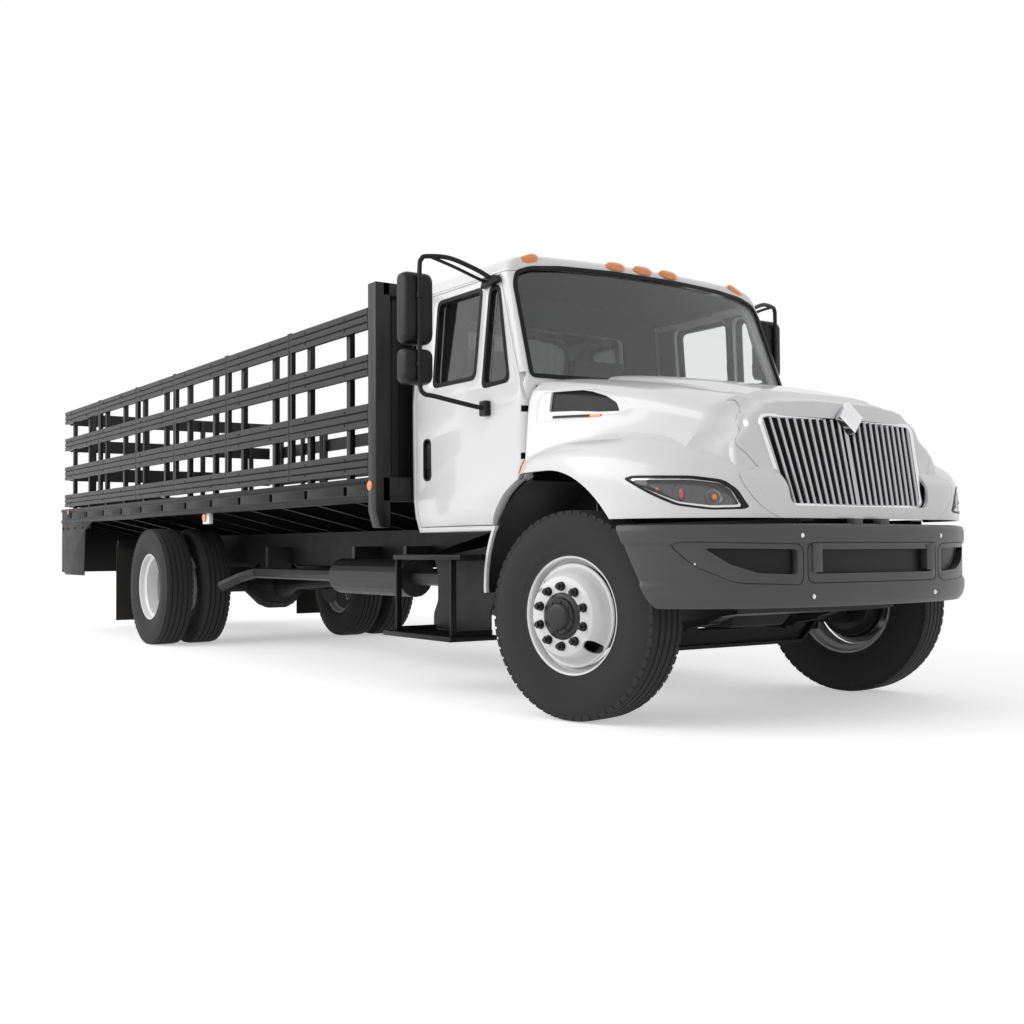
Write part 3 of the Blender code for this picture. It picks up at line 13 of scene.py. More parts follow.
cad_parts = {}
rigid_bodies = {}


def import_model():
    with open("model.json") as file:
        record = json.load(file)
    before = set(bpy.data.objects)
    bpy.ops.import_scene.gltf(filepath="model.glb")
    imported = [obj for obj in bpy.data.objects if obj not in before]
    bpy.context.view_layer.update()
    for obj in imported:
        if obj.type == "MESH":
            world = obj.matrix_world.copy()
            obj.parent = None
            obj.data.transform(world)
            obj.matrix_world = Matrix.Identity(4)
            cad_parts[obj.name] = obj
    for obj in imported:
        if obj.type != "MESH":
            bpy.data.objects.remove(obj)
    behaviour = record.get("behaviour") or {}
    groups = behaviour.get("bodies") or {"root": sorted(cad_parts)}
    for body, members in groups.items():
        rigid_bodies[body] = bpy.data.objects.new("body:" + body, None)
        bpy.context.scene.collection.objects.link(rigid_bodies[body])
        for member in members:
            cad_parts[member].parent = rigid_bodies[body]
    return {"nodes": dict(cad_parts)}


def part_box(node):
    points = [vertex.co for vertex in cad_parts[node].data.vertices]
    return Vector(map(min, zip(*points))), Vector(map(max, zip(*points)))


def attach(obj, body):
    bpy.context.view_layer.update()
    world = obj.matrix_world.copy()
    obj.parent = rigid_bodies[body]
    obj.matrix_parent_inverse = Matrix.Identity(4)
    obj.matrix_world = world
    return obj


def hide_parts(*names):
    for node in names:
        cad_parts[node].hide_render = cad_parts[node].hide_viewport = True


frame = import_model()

LOG = logging.getLogger("truck")
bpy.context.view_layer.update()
AXLE_X = sum(corner.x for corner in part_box("front_axle")) / 2
SIDES = (("left", 1), ("right", -1))

Flat = tuple[float, float]
Point = tuple[float, float, float]
Mesh = bpy.types.Mesh
Node = bpy.types.Node
Tree = bpy.types.NodeTree

DOOR_REACH = (0.5, 1.2)  # distances from the middle that doors and wheel arches are cut between
SCREEN_REACH = (-1.05, 0.0)  # X of the cab's front
REAR_REACH = (-2.0, -1.5)  # X of the cab's rear wall
HINGE_LEVELS = (1.320, 1.570)
FRAME_FACE = 0.4323
EDGE = 0.004
FINE_EDGE = 0.003


class Axis(Enum):
    """Direction that a flat outline is extruded in."""

    X = "x"
    Y = "y"
    Z = "z"


class Join(Enum):
    """How two closed forms are put together."""

    UNION = "UNION"
    CUT = "DIFFERENCE"
    COMMON = "INTERSECT"


# Shared shader groups

def new_group(name: str, inputs: dict[str, tuple[str, object]], outputs: dict[str, str]) -> Tree:
    """Start a shader node group with named sockets.

    Args:
        name: name of the group.
        inputs: socket name to its kind and default value.
        outputs: socket name to its kind.

    Returns:
        The group's tree, with its input and output nodes in place.
    """
    tree = bpy.data.node_groups.new(name, "ShaderNodeTree")
    for label, (kind, value) in inputs.items():
        tree.interface.new_socket(label, in_out="INPUT", socket_type=kind).default_value = value
    for label, kind in outputs.items():
        tree.interface.new_socket(label, in_out="OUTPUT", socket_type=kind)
    tree.nodes.new("NodeGroupInput").name = "in"
    tree.nodes.new("NodeGroupOutput").name = "out"
    return tree


def fill(tree: Tree, node: Node, links: dict[object, object]) -> None:
    """Give a node's sockets a value, or a link from a (node, output) pair."""
    for socket, source in links.items():
        if isinstance(source, tuple) and isinstance(source[0], Node):
            tree.links.new(source[0].outputs[source[1]], node.inputs[socket])
        else:
            node.inputs[socket].default_value = source


def wire(tree: Tree, kind: str, links: dict[object, object], **settings: object) -> Node:
    """Add a node, set its options and fill its sockets.

    Args:
        tree: the tree that takes the node.
        kind: Blender's name for the node type.
        links: socket name or number to a value, or to a (node, output) pair to link from.
        settings: the node's own options.

    Returns:
        The new node.
    """
    node = tree.nodes.new(kind)
    for option, value in settings.items():
        setattr(node, option, value)
    fill(tree, node, links)
    return node


def maths(tree: Tree, operation: str, *values: object, **settings: object) -> Node:
    """Add a Math node that works on these values or (node, output) pairs."""
    return wire(tree, "ShaderNodeMath", dict(enumerate(values)), operation=operation, **settings)


def noise_map(tree: Tree, vector: object, scale: object, detail: float) -> Node:
    """Add a Noise Texture node on a vector."""
    return wire(tree, "ShaderNodeTexNoise", {"Vector": vector, "Scale": scale, "Detail": detail})


def directly_seen(tree: Tree) -> Node:
    """Add the test for rays from the camera, from a reflection or through glass."""
    path = wire(tree, "ShaderNodeLightPath", {})
    first = maths(tree, "MAXIMUM", (path, "Is Camera Ray"), (path, "Is Glossy Ray"))
    return maths(tree, "MAXIMUM", (first, 0), (path, "Is Transmission Ray"))


def principled(name: str) -> tuple[bpy.types.Material, Tree, Node]:
    """Start a material, and return it with its tree and its Principled shader."""
    mat = bpy.data.materials.new(name)
    mat.use_nodes = True
    return mat, mat.node_tree, mat.node_tree.nodes["Principled BSDF"]


def tone_group() -> Tree:
    """Colour with soft mottling, small worn specks and road dust that thickens towards the ground.

    Returns:
        The group, which puts out the colour and the dust mask.
    """
    tree = new_group(
        "tone",
        {"Colour": ("NodeSocketColor", (0.5, 0.5, 0.5, 1)), "Mottle": ("NodeSocketFloat", 0.05),
         "Scale": ("NodeSocketFloat", 3.0), "Wear": ("NodeSocketFloat", 0.0),
         "Wear Colour": ("NodeSocketColor", (0.3, 0.3, 0.3, 1)), "Dust": ("NodeSocketFloat", 0.0),
         "Dust Colour": ("NodeSocketColor", (0.24, 0.21, 0.18, 1))},
        {"Colour": "NodeSocketColor", "Dust": "NodeSocketFloat"})
    given = tree.nodes["in"]
    place = wire(tree, "ShaderNodeTexCoord", {})
    soft = noise_map(tree, (place, "Object"), (given, "Scale"), 4.0)
    swing = maths(tree, "SUBTRACT", (soft, "Fac"), 0.5)
    amount = maths(tree, "MULTIPLY", (swing, 0), (given, "Mottle"))
    level = maths(tree, "ADD", (amount, 0), 1.0)
    shaded = wire(tree, "ShaderNodeVectorMath", {0: (given, "Colour"), "Scale": (level, 0)}, operation="SCALE")
    fine = noise_map(tree, (place, "Object"), 42.0, 6.0)
    specks = wire(tree, "ShaderNodeMapRange", {"Value": (fine, "Fac"), 1: 0.66, 2: 0.74, 3: 0.0, 4: 1.0})
    chipped = maths(tree, "MULTIPLY", (specks, 0), (given, "Wear"))
    worn = wire(tree, "ShaderNodeMix", {0: (chipped, 0), 6: (shaded, 0), 7: (given, "Wear Colour")},
                data_type="RGBA")
    split = wire(tree, "ShaderNodeSeparateXYZ", {0: (place, "Object")})
    low = wire(tree, "ShaderNodeMapRange", {"Value": (split, 2), 1: 1.2, 2: 0.0, 3: 0.0, 4: 1.0})
    cloud = noise_map(tree, (place, "Object"), 9.0, 5.0)
    patch = maths(tree, "MULTIPLY", (low, 0), (cloud, "Fac"))
    mask = maths(tree, "MULTIPLY", (patch, 0), (given, "Dust"), use_clamp=True)
    dusty = wire(tree, "ShaderNodeMix", {0: (mask, 0), 6: (worn, 2), 7: (given, "Dust Colour")},
                 data_type="RGBA")
    fill(tree, tree.nodes["out"], {"Colour": (dusty, 2), "Dust": (mask, 0)})
    return tree


def polish_group() -> Tree:
    """Roughness that varies over the surface and rises where dust lies.

    Returns:
        The group, which puts out the roughness.
    """
    tree = new_group(
        "polish",
        {"Roughness": ("NodeSocketFloat", 0.4), "Spread": ("NodeSocketFloat", 0.1),
         "Scale": ("NodeSocketFloat", 8.0), "Dust": ("NodeSocketFloat", 0.0)},
        {"Roughness": "NodeSocketFloat"})
    given = tree.nodes["in"]
    place = wire(tree, "ShaderNodeTexCoord", {})
    noise = noise_map(tree, (place, "Object"), (given, "Scale"), 6.0)
    swing = maths(tree, "SUBTRACT", (noise, "Fac"), 0.5)
    part = maths(tree, "MULTIPLY", (swing, 0), (given, "Spread"))
    base = maths(tree, "ADD", (part, 0), (given, "Roughness"))
    dust = maths(tree, "MULTIPLY", (given, "Dust"), 0.4)
    total = maths(tree, "ADD", (base, 0), (dust, 0), use_clamp=True)
    fill(tree, tree.nodes["out"], {"Roughness": (total, 0)})
    return tree


def grain_group() -> Tree:
    """Fine height of a cast, moulded or sprayed surface.

    Returns:
        The group, which puts out a height.
    """
    tree = new_group(
        "grain",
        {"Scale": ("NodeSocketFloat", 200.0), "Stretch": ("NodeSocketVector", (1.0, 1.0, 1.0)),
         "Weave": ("NodeSocketFloat", 0.0)},
        {"Height": "NodeSocketFloat"})
    given = tree.nodes["in"]
    place = wire(tree, "ShaderNodeTexCoord", {})
    pulled = wire(tree, "ShaderNodeVectorMath", {0: (place, "Object"), 1: (given, "Stretch")},
                  operation="MULTIPLY")
    noise = noise_map(tree, (pulled, 0), (given, "Scale"), 3.0)
    cells = wire(tree, "ShaderNodeTexVoronoi", {"Vector": (pulled, 0), "Scale": (given, "Scale")})
    mixed = wire(tree, "ShaderNodeMix", {0: (given, "Weave"), 2: (noise, "Fac"), 3: (cells, "Distance")})
    fill(tree, tree.nodes["out"], {"Height": (mixed, 0)})
    return tree


GROUPS = {"tone": tone_group(), "polish": polish_group(), "grain": grain_group()}


@dataclass(frozen=True)
class Finish:
    """One surface finish of the truck, with the record's material slot that it belongs to."""

    name: str
    slot: str
    colour: Point
    roughness: float
    metallic: float = 0.0
    coat: float = 0.0
    specular: float = 0.5
    mottle: float = 0.05
    mottle_scale: float = 3.0
    spread: float = 0.08
    wear: float = 0.0
    wear_colour: Point = (0.30, 0.30, 0.31)
    dust: float = 0.0
    grain: float = 260.0
    depth: float = 0.0002
    weave: float = 0.0
    stretch: Point = (1.0, 1.0, 1.0)

    def material(self) -> bpy.types.Material:
        """Build the Principled material once and return it."""
        if self.name in bpy.data.materials:
            return bpy.data.materials[self.name]
        mat, tree, shader = principled(self.name)
        tone = wire(tree, "ShaderNodeGroup", {
            "Colour": (*self.colour, 1), "Mottle": self.mottle, "Scale": self.mottle_scale, "Wear": self.wear,
            "Wear Colour": (*self.wear_colour, 1), "Dust": self.dust}, node_tree=GROUPS["tone"])
        polish = wire(tree, "ShaderNodeGroup", {"Roughness": self.roughness, "Spread": self.spread,
                                                "Dust": (tone, "Dust")}, node_tree=GROUPS["polish"])
        grain = wire(tree, "ShaderNodeGroup",
                     {"Scale": self.grain, "Weave": self.weave, "Stretch": self.stretch},
                     node_tree=GROUPS["grain"])
        bump = wire(tree, "ShaderNodeBump",
                    {"Height": (grain, "Height"), "Distance": self.depth, "Strength": 0.6})
        fill(tree, shader, {"Metallic": self.metallic, "Specular IOR Level": self.specular,
                            "Coat Weight": self.coat,
                            "Coat Roughness": 0.06, "Base Color": (tone, "Colour"),
                            "Roughness": (polish, "Roughness"), "Normal": (bump, "Normal")})
        return mat


@dataclass(frozen=True)
class Glass:
    """A clear or tinted glass, or a coloured lens, with a faint film on it."""

    name: str
    slot: str
    colour: Point
    roughness: float = 0.004
    ior: float = 1.45

    def material(self) -> bpy.types.Material:
        """Build the glass material once and return it."""
        if self.name in bpy.data.materials:
            return bpy.data.materials[self.name]
        mat, tree, shader = principled(self.name)
        tone = wire(tree, "ShaderNodeGroup", {"Colour": (*self.colour, 1), "Mottle": 0.04},
                    node_tree=GROUPS["tone"])
        polish = wire(tree, "ShaderNodeGroup", {"Roughness": self.roughness, "Spread": 0.002},
                      node_tree=GROUPS["polish"])
        fill(tree, shader, {"Metallic": 0.0, "Transmission Weight": 1.0, "IOR": self.ior,
                            "Base Color": (tone, "Colour"), "Roughness": (polish, "Roughness")})
        return mat


WHITE = Finish("white_body_paint", "white_paint", (0.80, 0.80, 0.80), 0.30, coat=0.6, mottle=0.02, spread=0.04,
               grain=90.0, depth=0.00012, dust=0.05)
SILVER = Finish("silver_surround", "chrome", (0.66, 0.66, 0.67), 0.26, metallic=0.35, coat=0.4, mottle=0.03,
                grain=400.0, depth=0.00006, dust=0.04)
BAR = Finish("grille_bar_metal", "chrome", (0.46, 0.46, 0.47), 0.22, metallic=1.0, mottle=0.05, grain=300.0,
             depth=0.00005)
BRIGHT = Finish("bright_metal", "chrome", (0.78, 0.78, 0.79), 0.12, metallic=1.0, mottle=0.03, depth=0.00004)
TRAY = Finish("headlamp_tray", "chrome", (0.10, 0.10, 0.105), 0.30, metallic=0.6, mottle=0.1, depth=0.00004)
BLACK = Finish("black_chassis_paint", "black_paint", (0.007, 0.007, 0.0075), 0.45, specular=0.20, mottle=0.3,
               spread=0.2, wear=0.08, wear_colour=(0.04, 0.04, 0.04), dust=0.04, grain=180.0, depth=0.0004)
RACK = Finish("black_rack_paint", "black_paint", (0.010, 0.010, 0.0105), 0.36, specular=0.35, mottle=0.25,
              spread=0.15, wear=0.08, wear_colour=(0.06, 0.06, 0.06), grain=160.0, depth=0.0003)
CAST = Finish("dark_cast_iron", "dark_cast", (0.011, 0.011, 0.0115), 0.60, specular=0.25, mottle=0.4,
              spread=0.2, dust=0.10, grain=140.0, depth=0.0010)
GREY = Finish("bumper_grey", "grey_plastic", (0.062, 0.062, 0.064), 0.36, mottle=0.06, spread=0.08,
              grain=500.0, depth=0.00015, dust=0.05)
TRIM = Finish("black_moulding", "black_plastic", (0.008, 0.008, 0.008), 0.40, specular=0.25, mottle=0.1,
              spread=0.1, grain=600.0, depth=0.0003, weave=0.6)
SEAL = Finish("window_seal", "black_plastic", (0.006, 0.006, 0.006), 0.50, specular=0.2, mottle=0.1,
              grain=500.0, depth=0.0002)
TYRE = Finish("tyre_rubber", "tyre_rubber", (0.0045, 0.0045, 0.0048), 0.68, specular=0.13, mottle=0.25,
              mottle_scale=6.0, spread=0.12, dust=0.05, grain=380.0, depth=0.0005)
FLAP = Finish("flap_rubber", "rubber", (0.012, 0.012, 0.012), 0.78, specular=0.2, mottle=0.3, dust=0.12,
              grain=300.0, depth=0.0006)
WHEEL = Finish("white_wheel_enamel", "white_wheel_paint", (0.80, 0.80, 0.80), 0.30, coat=0.3, mottle=0.04,
               dust=0.06, grain=200.0, depth=0.0002)
HUB = Finish("black_hub", "dark_cast", (0.007, 0.007, 0.007), 0.42, metallic=0.1, mottle=0.3, grain=150.0,
             depth=0.0006)
# Painted shade: the bare tank and exhaust metal gets a near-black colour so that it sinks into the shade under
# the truck.
SHADE_DARK_TANK = Finish("tank_metal_painted_shade", "bare_metal", (0.011, 0.011, 0.012), 0.42, metallic=0.3, mottle=0.2, dust=0.2,
              grain=240.0, depth=0.0003, stretch=(0.1, 1.0, 1.0))
LINER = Finish("cab_lining", "black_plastic", (0.030, 0.030, 0.031), 0.70, specular=0.25, mottle=0.15,
               grain=60.0, depth=0.0001)
CLOTH = Finish("seat_fabric", "seat_cloth", (0.075, 0.075, 0.082), 0.90, mottle=0.3, mottle_scale=20.0,
               grain=700.0, depth=0.0008, weave=0.8)
AMBER = Finish("amber_lens", "clear_lens", (0.88, 0.235, 0.010), 0.18, coat=1.0, mottle=0.15, mottle_scale=60.0,
               grain=160.0, depth=0.0012, weave=1.0)
RED = Finish("red_lens", "clear_lens", (0.42, 0.012, 0.012), 0.18, coat=1.0, mottle=0.15, mottle_scale=60.0,
             grain=160.0, depth=0.0012, weave=1.0)
TINTED = Glass("tinted_window", "dark_glass", (0.90, 0.91, 0.91))
CLEAR = Glass("clear_lens_glass", "clear_lens", (0.96, 0.96, 0.96))


# Forms, built in metres with X from the front axle, Y to the left and Z up

def to_mesh(bm: bmesh.types.BMesh) -> Mesh:
    """Weld a bmesh, turn its faces outwards, make it a mesh and free it."""
    bmesh.ops.remove_doubles(bm, verts=bm.verts, dist=0.00001)
    bmesh.ops.recalc_face_normals(bm, faces=bm.faces)
    mesh = bpy.data.meshes.new("form")
    bm.to_mesh(mesh)
    bm.free()
    return mesh


def prism(outline: Sequence[Flat], axis: Axis, low: float, high: float) -> Mesh:
    """Extrude an outline.

    Args:
        outline: (y, z) points along X, (x, z) along Y, or (x, y) along Z.
        axis: direction of the extrusion.
        low: one end.
        high: the other end.

    Returns:
        A closed mesh.
    """
    place: dict[Axis, Callable[[Flat, float], Point]] = {
        Axis.X: lambda p, d: (d, p[0], p[1]),
        Axis.Y: lambda p, d: (p[0], d, p[1]),
        Axis.Z: lambda p, d: (p[0], p[1], d),
    }
    return loft([[place[axis](p, d) for p in outline] for d in (low, high)])


def rectangle(low: Flat, high: Flat) -> tuple[Flat, ...]:
    """A rectangle's outline from its lowest and its highest corner."""
    return low, (high[0], low[1]), high, (low[0], high[1])


def box(low: Point, high: Point) -> Mesh:
    """A block between two corners."""
    return prism(rectangle(low[:2], high[:2]), Axis.Z, low[2], high[2])


def span(side: int, near: float, far: float) -> Flat:
    """The lower and the higher Y of a reach on one side of the truck."""
    low, high = sorted((side * near, side * far))
    return low, high


def side_box(side: int, x: Flat, y: Flat, z: Flat) -> Mesh:
    """A block between two values of X, two distances from the truck's middle and two heights."""
    low, high = span(side, *y)
    return box((x[0], low, z[0]), (x[1], high, z[1]))


def sideways(outline: Sequence[Flat], side: int, near: float, far: float) -> Mesh:
    """Extrude an (x, z) outline on one side, between two distances from the truck's middle."""
    return prism(outline, Axis.Y, *span(side, near, far))


def facing(outline: Sequence[Flat], side: int, low: float, high: float) -> Mesh:
    """Extrude a (y, z) outline along X, mirrored to one side of the truck."""
    return prism([(side * y, z) for y, z in outline], Axis.X, low, high)


def loft(rings: Sequence[Sequence[Point]], ends: bool = True, looped: bool = False) -> Mesh:
    """Skin a row of closed sections that have the same number of points.

    Args:
        rings: the sections.
        ends: True to close the first and the last section with a face.
        looped: True to join the last section to the first one instead.

    Returns:
        The mesh.
    """
    bm = bmesh.new()
    made = [[bm.verts.new(p) for p in ring] for ring in rings]
    count = len(made[0])
    pairs = list(zip(made, made[1:]))
    if looped:
        pairs.append((made[-1], made[0]))
    for a, b in pairs:
        for i in range(count):
            j = (i + 1) % count
            bm.faces.new((a[i], a[j], b[j], b[i]))
    if ends and not looped:
        bm.faces.new(made[0])
        bm.faces.new(made[-1])
    return to_mesh(bm)


def turned(profile: Sequence[Flat], centre: Point, steps: int, side: int = 1) -> Mesh:
    """Turn a closed profile about a line along Y.

    Args:
        profile: (across, radius) points, where radius 0 lies on the line.
        centre: point on the line that across is measured from.
        steps: faces round the turn.
        side: 1 to measure across towards the left, -1 towards the right.

    Returns:
        The mesh.
    """
    bm = bmesh.new()
    rings = []
    for k in range(steps):
        a = 2 * pi * k / steps
        rings.append([bm.verts.new((centre[0] + r * cos(a), centre[1] + side * w, centre[2] + r * sin(a)))
                      for w, r in profile])
    count = len(profile)
    for k in range(steps):
        ring, following = rings[k], rings[(k + 1) % steps]
        for i in range(count):
            j = (i + 1) % count
            corners = [ring[i], ring[j]]
            if profile[j][1]:
                corners.append(following[j])
            if profile[i][1]:
                corners.append(following[i])
            if len(corners) > 2:
                bm.faces.new(corners)
    return to_mesh(bm)


def arc(centre: Flat, radius: float, start: float, end: float, steps: int) -> list[Flat]:
    """Points of an arc, with its angles in degrees."""
    angles = [radians(start + (end - start) * k / steps) for k in range(steps + 1)]
    return [(centre[0] + radius * cos(a), centre[1] + radius * sin(a)) for a in angles]


def disc(axis: Axis, centre: Flat, radius: float, low: float, high: float, sides: int = 32) -> Mesh:
    """A round bar along an axis."""
    return prism(arc(centre, radius, 0, 360 * (sides - 1) / sides, sides - 1), axis, low, high)


def curved(points: Sequence[Sequence[float]], per: int, looped: bool = False) -> list[tuple[float, ...]]:
    """Run a smooth curve through points of any number of values.

    Args:
        points: the points that it passes through.
        per: steps between two of them.
        looped: True if the last point leads back to the first.

    Returns:
        The points of the curve.
    """
    rows = [tuple(p) for p in points]
    count = len(rows)
    result = []
    for i in range(count if looped else count - 1):
        if looped:
            a, b, c, d = (rows[(i + k) % count] for k in (-1, 0, 1, 2))
        else:
            a, b, c, d = (rows[min(max(i + k, 0), count - 1)] for k in (-1, 0, 1, 2))
        for step in range(per):
            t = step / per
            weights = (-0.5 * t + t * t - 0.5 * t ** 3, 1 - 2.5 * t * t + 1.5 * t ** 3,
                       0.5 * t + 2 * t * t - 1.5 * t ** 3, -0.5 * t * t + 0.5 * t ** 3)
            result.append(tuple(sum(w * p[n] for w, p in zip(weights, (a, b, c, d))) for n in range(len(b))))
    if not looped:
        result.append(rows[-1])
    return result


def rounded(outline: Sequence[Flat], radius: float = 0.03, steps: int = 6) -> list[Flat]:
    """Round the corners of a closed outline.

    Args:
        outline: its corners.
        radius: how far from each corner the rounding starts.
        steps: chords in each corner.

    Returns:
        The rounded outline.
    """
    result = []
    for i, place in enumerate(outline):
        corner = Vector(place)
        last = Vector(outline[i - 1]) - corner
        following = Vector(outline[(i + 1) % len(outline)]) - corner
        reach = min(radius, 0.49 * last.length, 0.49 * following.length)
        start, end = corner + last.normalized() * reach, corner + following.normalized() * reach
        for k in range(steps + 1):
            t = k / steps
            point = (1 - t) ** 2 * start + 2 * t * (1 - t) * corner + t * t * end
            result.append((point.x, point.y))
    return result


def offset(outline: Sequence[Flat], distance: float) -> list[Flat]:
    """Move a closed outline outwards by a distance, measured square to its edges."""
    area = sum(a[0] * b[1] - b[0] * a[1] for a, b in zip(outline, [*outline[1:], outline[0]]))
    turn = 1 if area > 0 else -1
    result = []
    for i, place in enumerate(outline):
        before = (Vector(place) - Vector(outline[i - 1])).normalized()
        after = (Vector(outline[(i + 1) % len(outline)]) - Vector(place)).normalized()
        out_a = Vector((before.y, -before.x)) * turn
        out_b = Vector((after.y, -after.x)) * turn
        middle = (out_a + out_b).normalized()
        reach = distance / max(0.3, middle.dot(out_a))
        result.append((place[0] + middle.x * reach, place[1] + middle.y * reach))
    return result


def tube(points: Sequence[Point], radius: float, sides: int = 12, looped: bool = False) -> Mesh:
    """A round tube along a row of points, with closed ends."""
    path = [Vector(p) for p in points]
    rings = []
    side = None
    for i, place in enumerate(path):
        ahead = path[(i + 1) % len(path)] if looped else path[min(i + 1, len(path) - 1)]
        behind = path[i - 1] if looped or i else path[0]
        along = (ahead - behind).normalized()
        if side is None:
            side = along.orthogonal().normalized()
        side = (side - along * side.dot(along)).normalized()
        up = along.cross(side)
        rings.append([place + side * (radius * cos(a)) + up * (radius * sin(a))
                      for a in (2 * pi * k / sides for k in range(sides))])
    return loft(rings, looped=looped)


def placed(name: str, data: bpy.types.ID) -> bpy.types.Object:
    """Link a new object with this data to the scene."""
    obj = bpy.data.objects.new(name, data)
    bpy.context.scene.collection.objects.link(obj)
    return obj


def evaluated(holder: bpy.types.Object) -> Mesh:
    """The plain mesh that an object's modifiers make."""
    return bpy.data.meshes.new_from_object(holder.evaluated_get(bpy.context.evaluated_depsgraph_get()))


def boolean(base: Mesh, others: Sequence[Mesh], how: Join) -> Mesh:
    """Put closed forms together.

    Args:
        base: the form that is changed.
        others: the forms that are joined to it, cut from it or kept in common with it.
        how: which of these.

    Returns:
        A new mesh.
    """
    group = bpy.data.collections.new("operands")
    bpy.context.scene.collection.children.link(group)
    holder = placed("form", base)
    for mesh in others:
        group.objects.link(bpy.data.objects.new("operand", mesh))
    modifier = holder.modifiers.new("shape", "BOOLEAN")
    modifier.operation = how.value
    modifier.operand_type = "COLLECTION"
    modifier.collection = group
    modifier.solver = "EXACT"
    result = evaluated(holder)
    for other in list(group.objects):
        bpy.data.objects.remove(other)
    bpy.data.objects.remove(holder)
    bpy.data.collections.remove(group)
    return result


def joined(*meshes: Mesh) -> Mesh:
    """One closed form of several that overlap."""
    return boolean(meshes[0], meshes[1:], Join.UNION)


def cut(base: Mesh, *cutters: Mesh) -> Mesh:
    """A form with others taken out of it."""
    return boolean(base, cutters, Join.CUT)


def common(base: Mesh, other: Mesh) -> Mesh:
    """What two forms share."""
    return boolean(base, [other], Join.COMMON)


def between(form: Callable[[float], Mesh], outer: float, inner: float) -> Mesh:
    """What lies between two depths under a form's surface."""
    return cut(form(outer), form(inner))


def together(*meshes: Mesh) -> Mesh:
    """Several forms in one mesh, each kept as it is."""
    bm = bmesh.new()
    for mesh in meshes:
        bm.from_mesh(mesh)
    mesh = bpy.data.meshes.new("form")
    bm.to_mesh(mesh)
    bm.free()
    return mesh


def moved(mesh: Mesh, matrix: Matrix) -> Mesh:
    """A copy of a mesh with a matrix applied."""
    copy = mesh.copy()
    copy.transform(matrix)
    return copy


def shifted(mesh: Mesh, *place: float) -> Mesh:
    """A copy of a mesh moved to a place."""
    return moved(mesh, Matrix.Translation(place))


def swung(mesh: Mesh, *place: float) -> Mesh:
    """A copy of a mesh given a quarter turn about Z and moved to a place."""
    return moved(mesh, Matrix.Translation(place) @ Matrix.Rotation(pi / 2, 4, "Z"))


def softened(mesh: Mesh, width: float) -> Mesh:
    """Round a closed form's edges that are sharper than 35 degrees, in two faces, with Blender's Bevel."""
    holder = placed("form", mesh)
    bevel = holder.modifiers.new("edges", "BEVEL")
    bevel.width = width
    bevel.segments = 2
    bevel.limit_method = "ANGLE"
    bevel.angle_limit = radians(35.0)
    bevel.miter_outer = "MITER_ARC"
    result = evaluated(holder)
    bpy.data.objects.remove(holder)
    return result


def piece(name: str, mesh: Mesh, finish: Finish | Glass, body: str, replaces: Sequence[str] = (),
          smooth: float = 32.0) -> bpy.types.Object:
    """Make a finished piece of the truck and hang it on its body.

    Args:
        name: name of the piece.
        mesh: its form in truck coordinates.
        finish: its surface.
        body: the CAD body that it moves with.
        replaces: CAD nodes that it stands for.
        smooth: edges sharper than this many degrees stay sharp.

    Returns:
        The new object.
    """
    mesh.transform(Matrix.Translation((AXLE_X, 0.0, 0.0)))
    mesh.name = name
    mesh.materials.clear()
    mesh.materials.append(finish.material())
    mesh.shade_smooth()
    mesh.set_sharp_from_angle(angle=radians(smooth))
    obj = placed(name, mesh)
    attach(obj, body)
    if replaces:
        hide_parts(*replaces)
    LOG.info("%s: %d faces on %s", name, len(mesh.polygons), body)
    return obj


# Geometry Nodes for what repeats

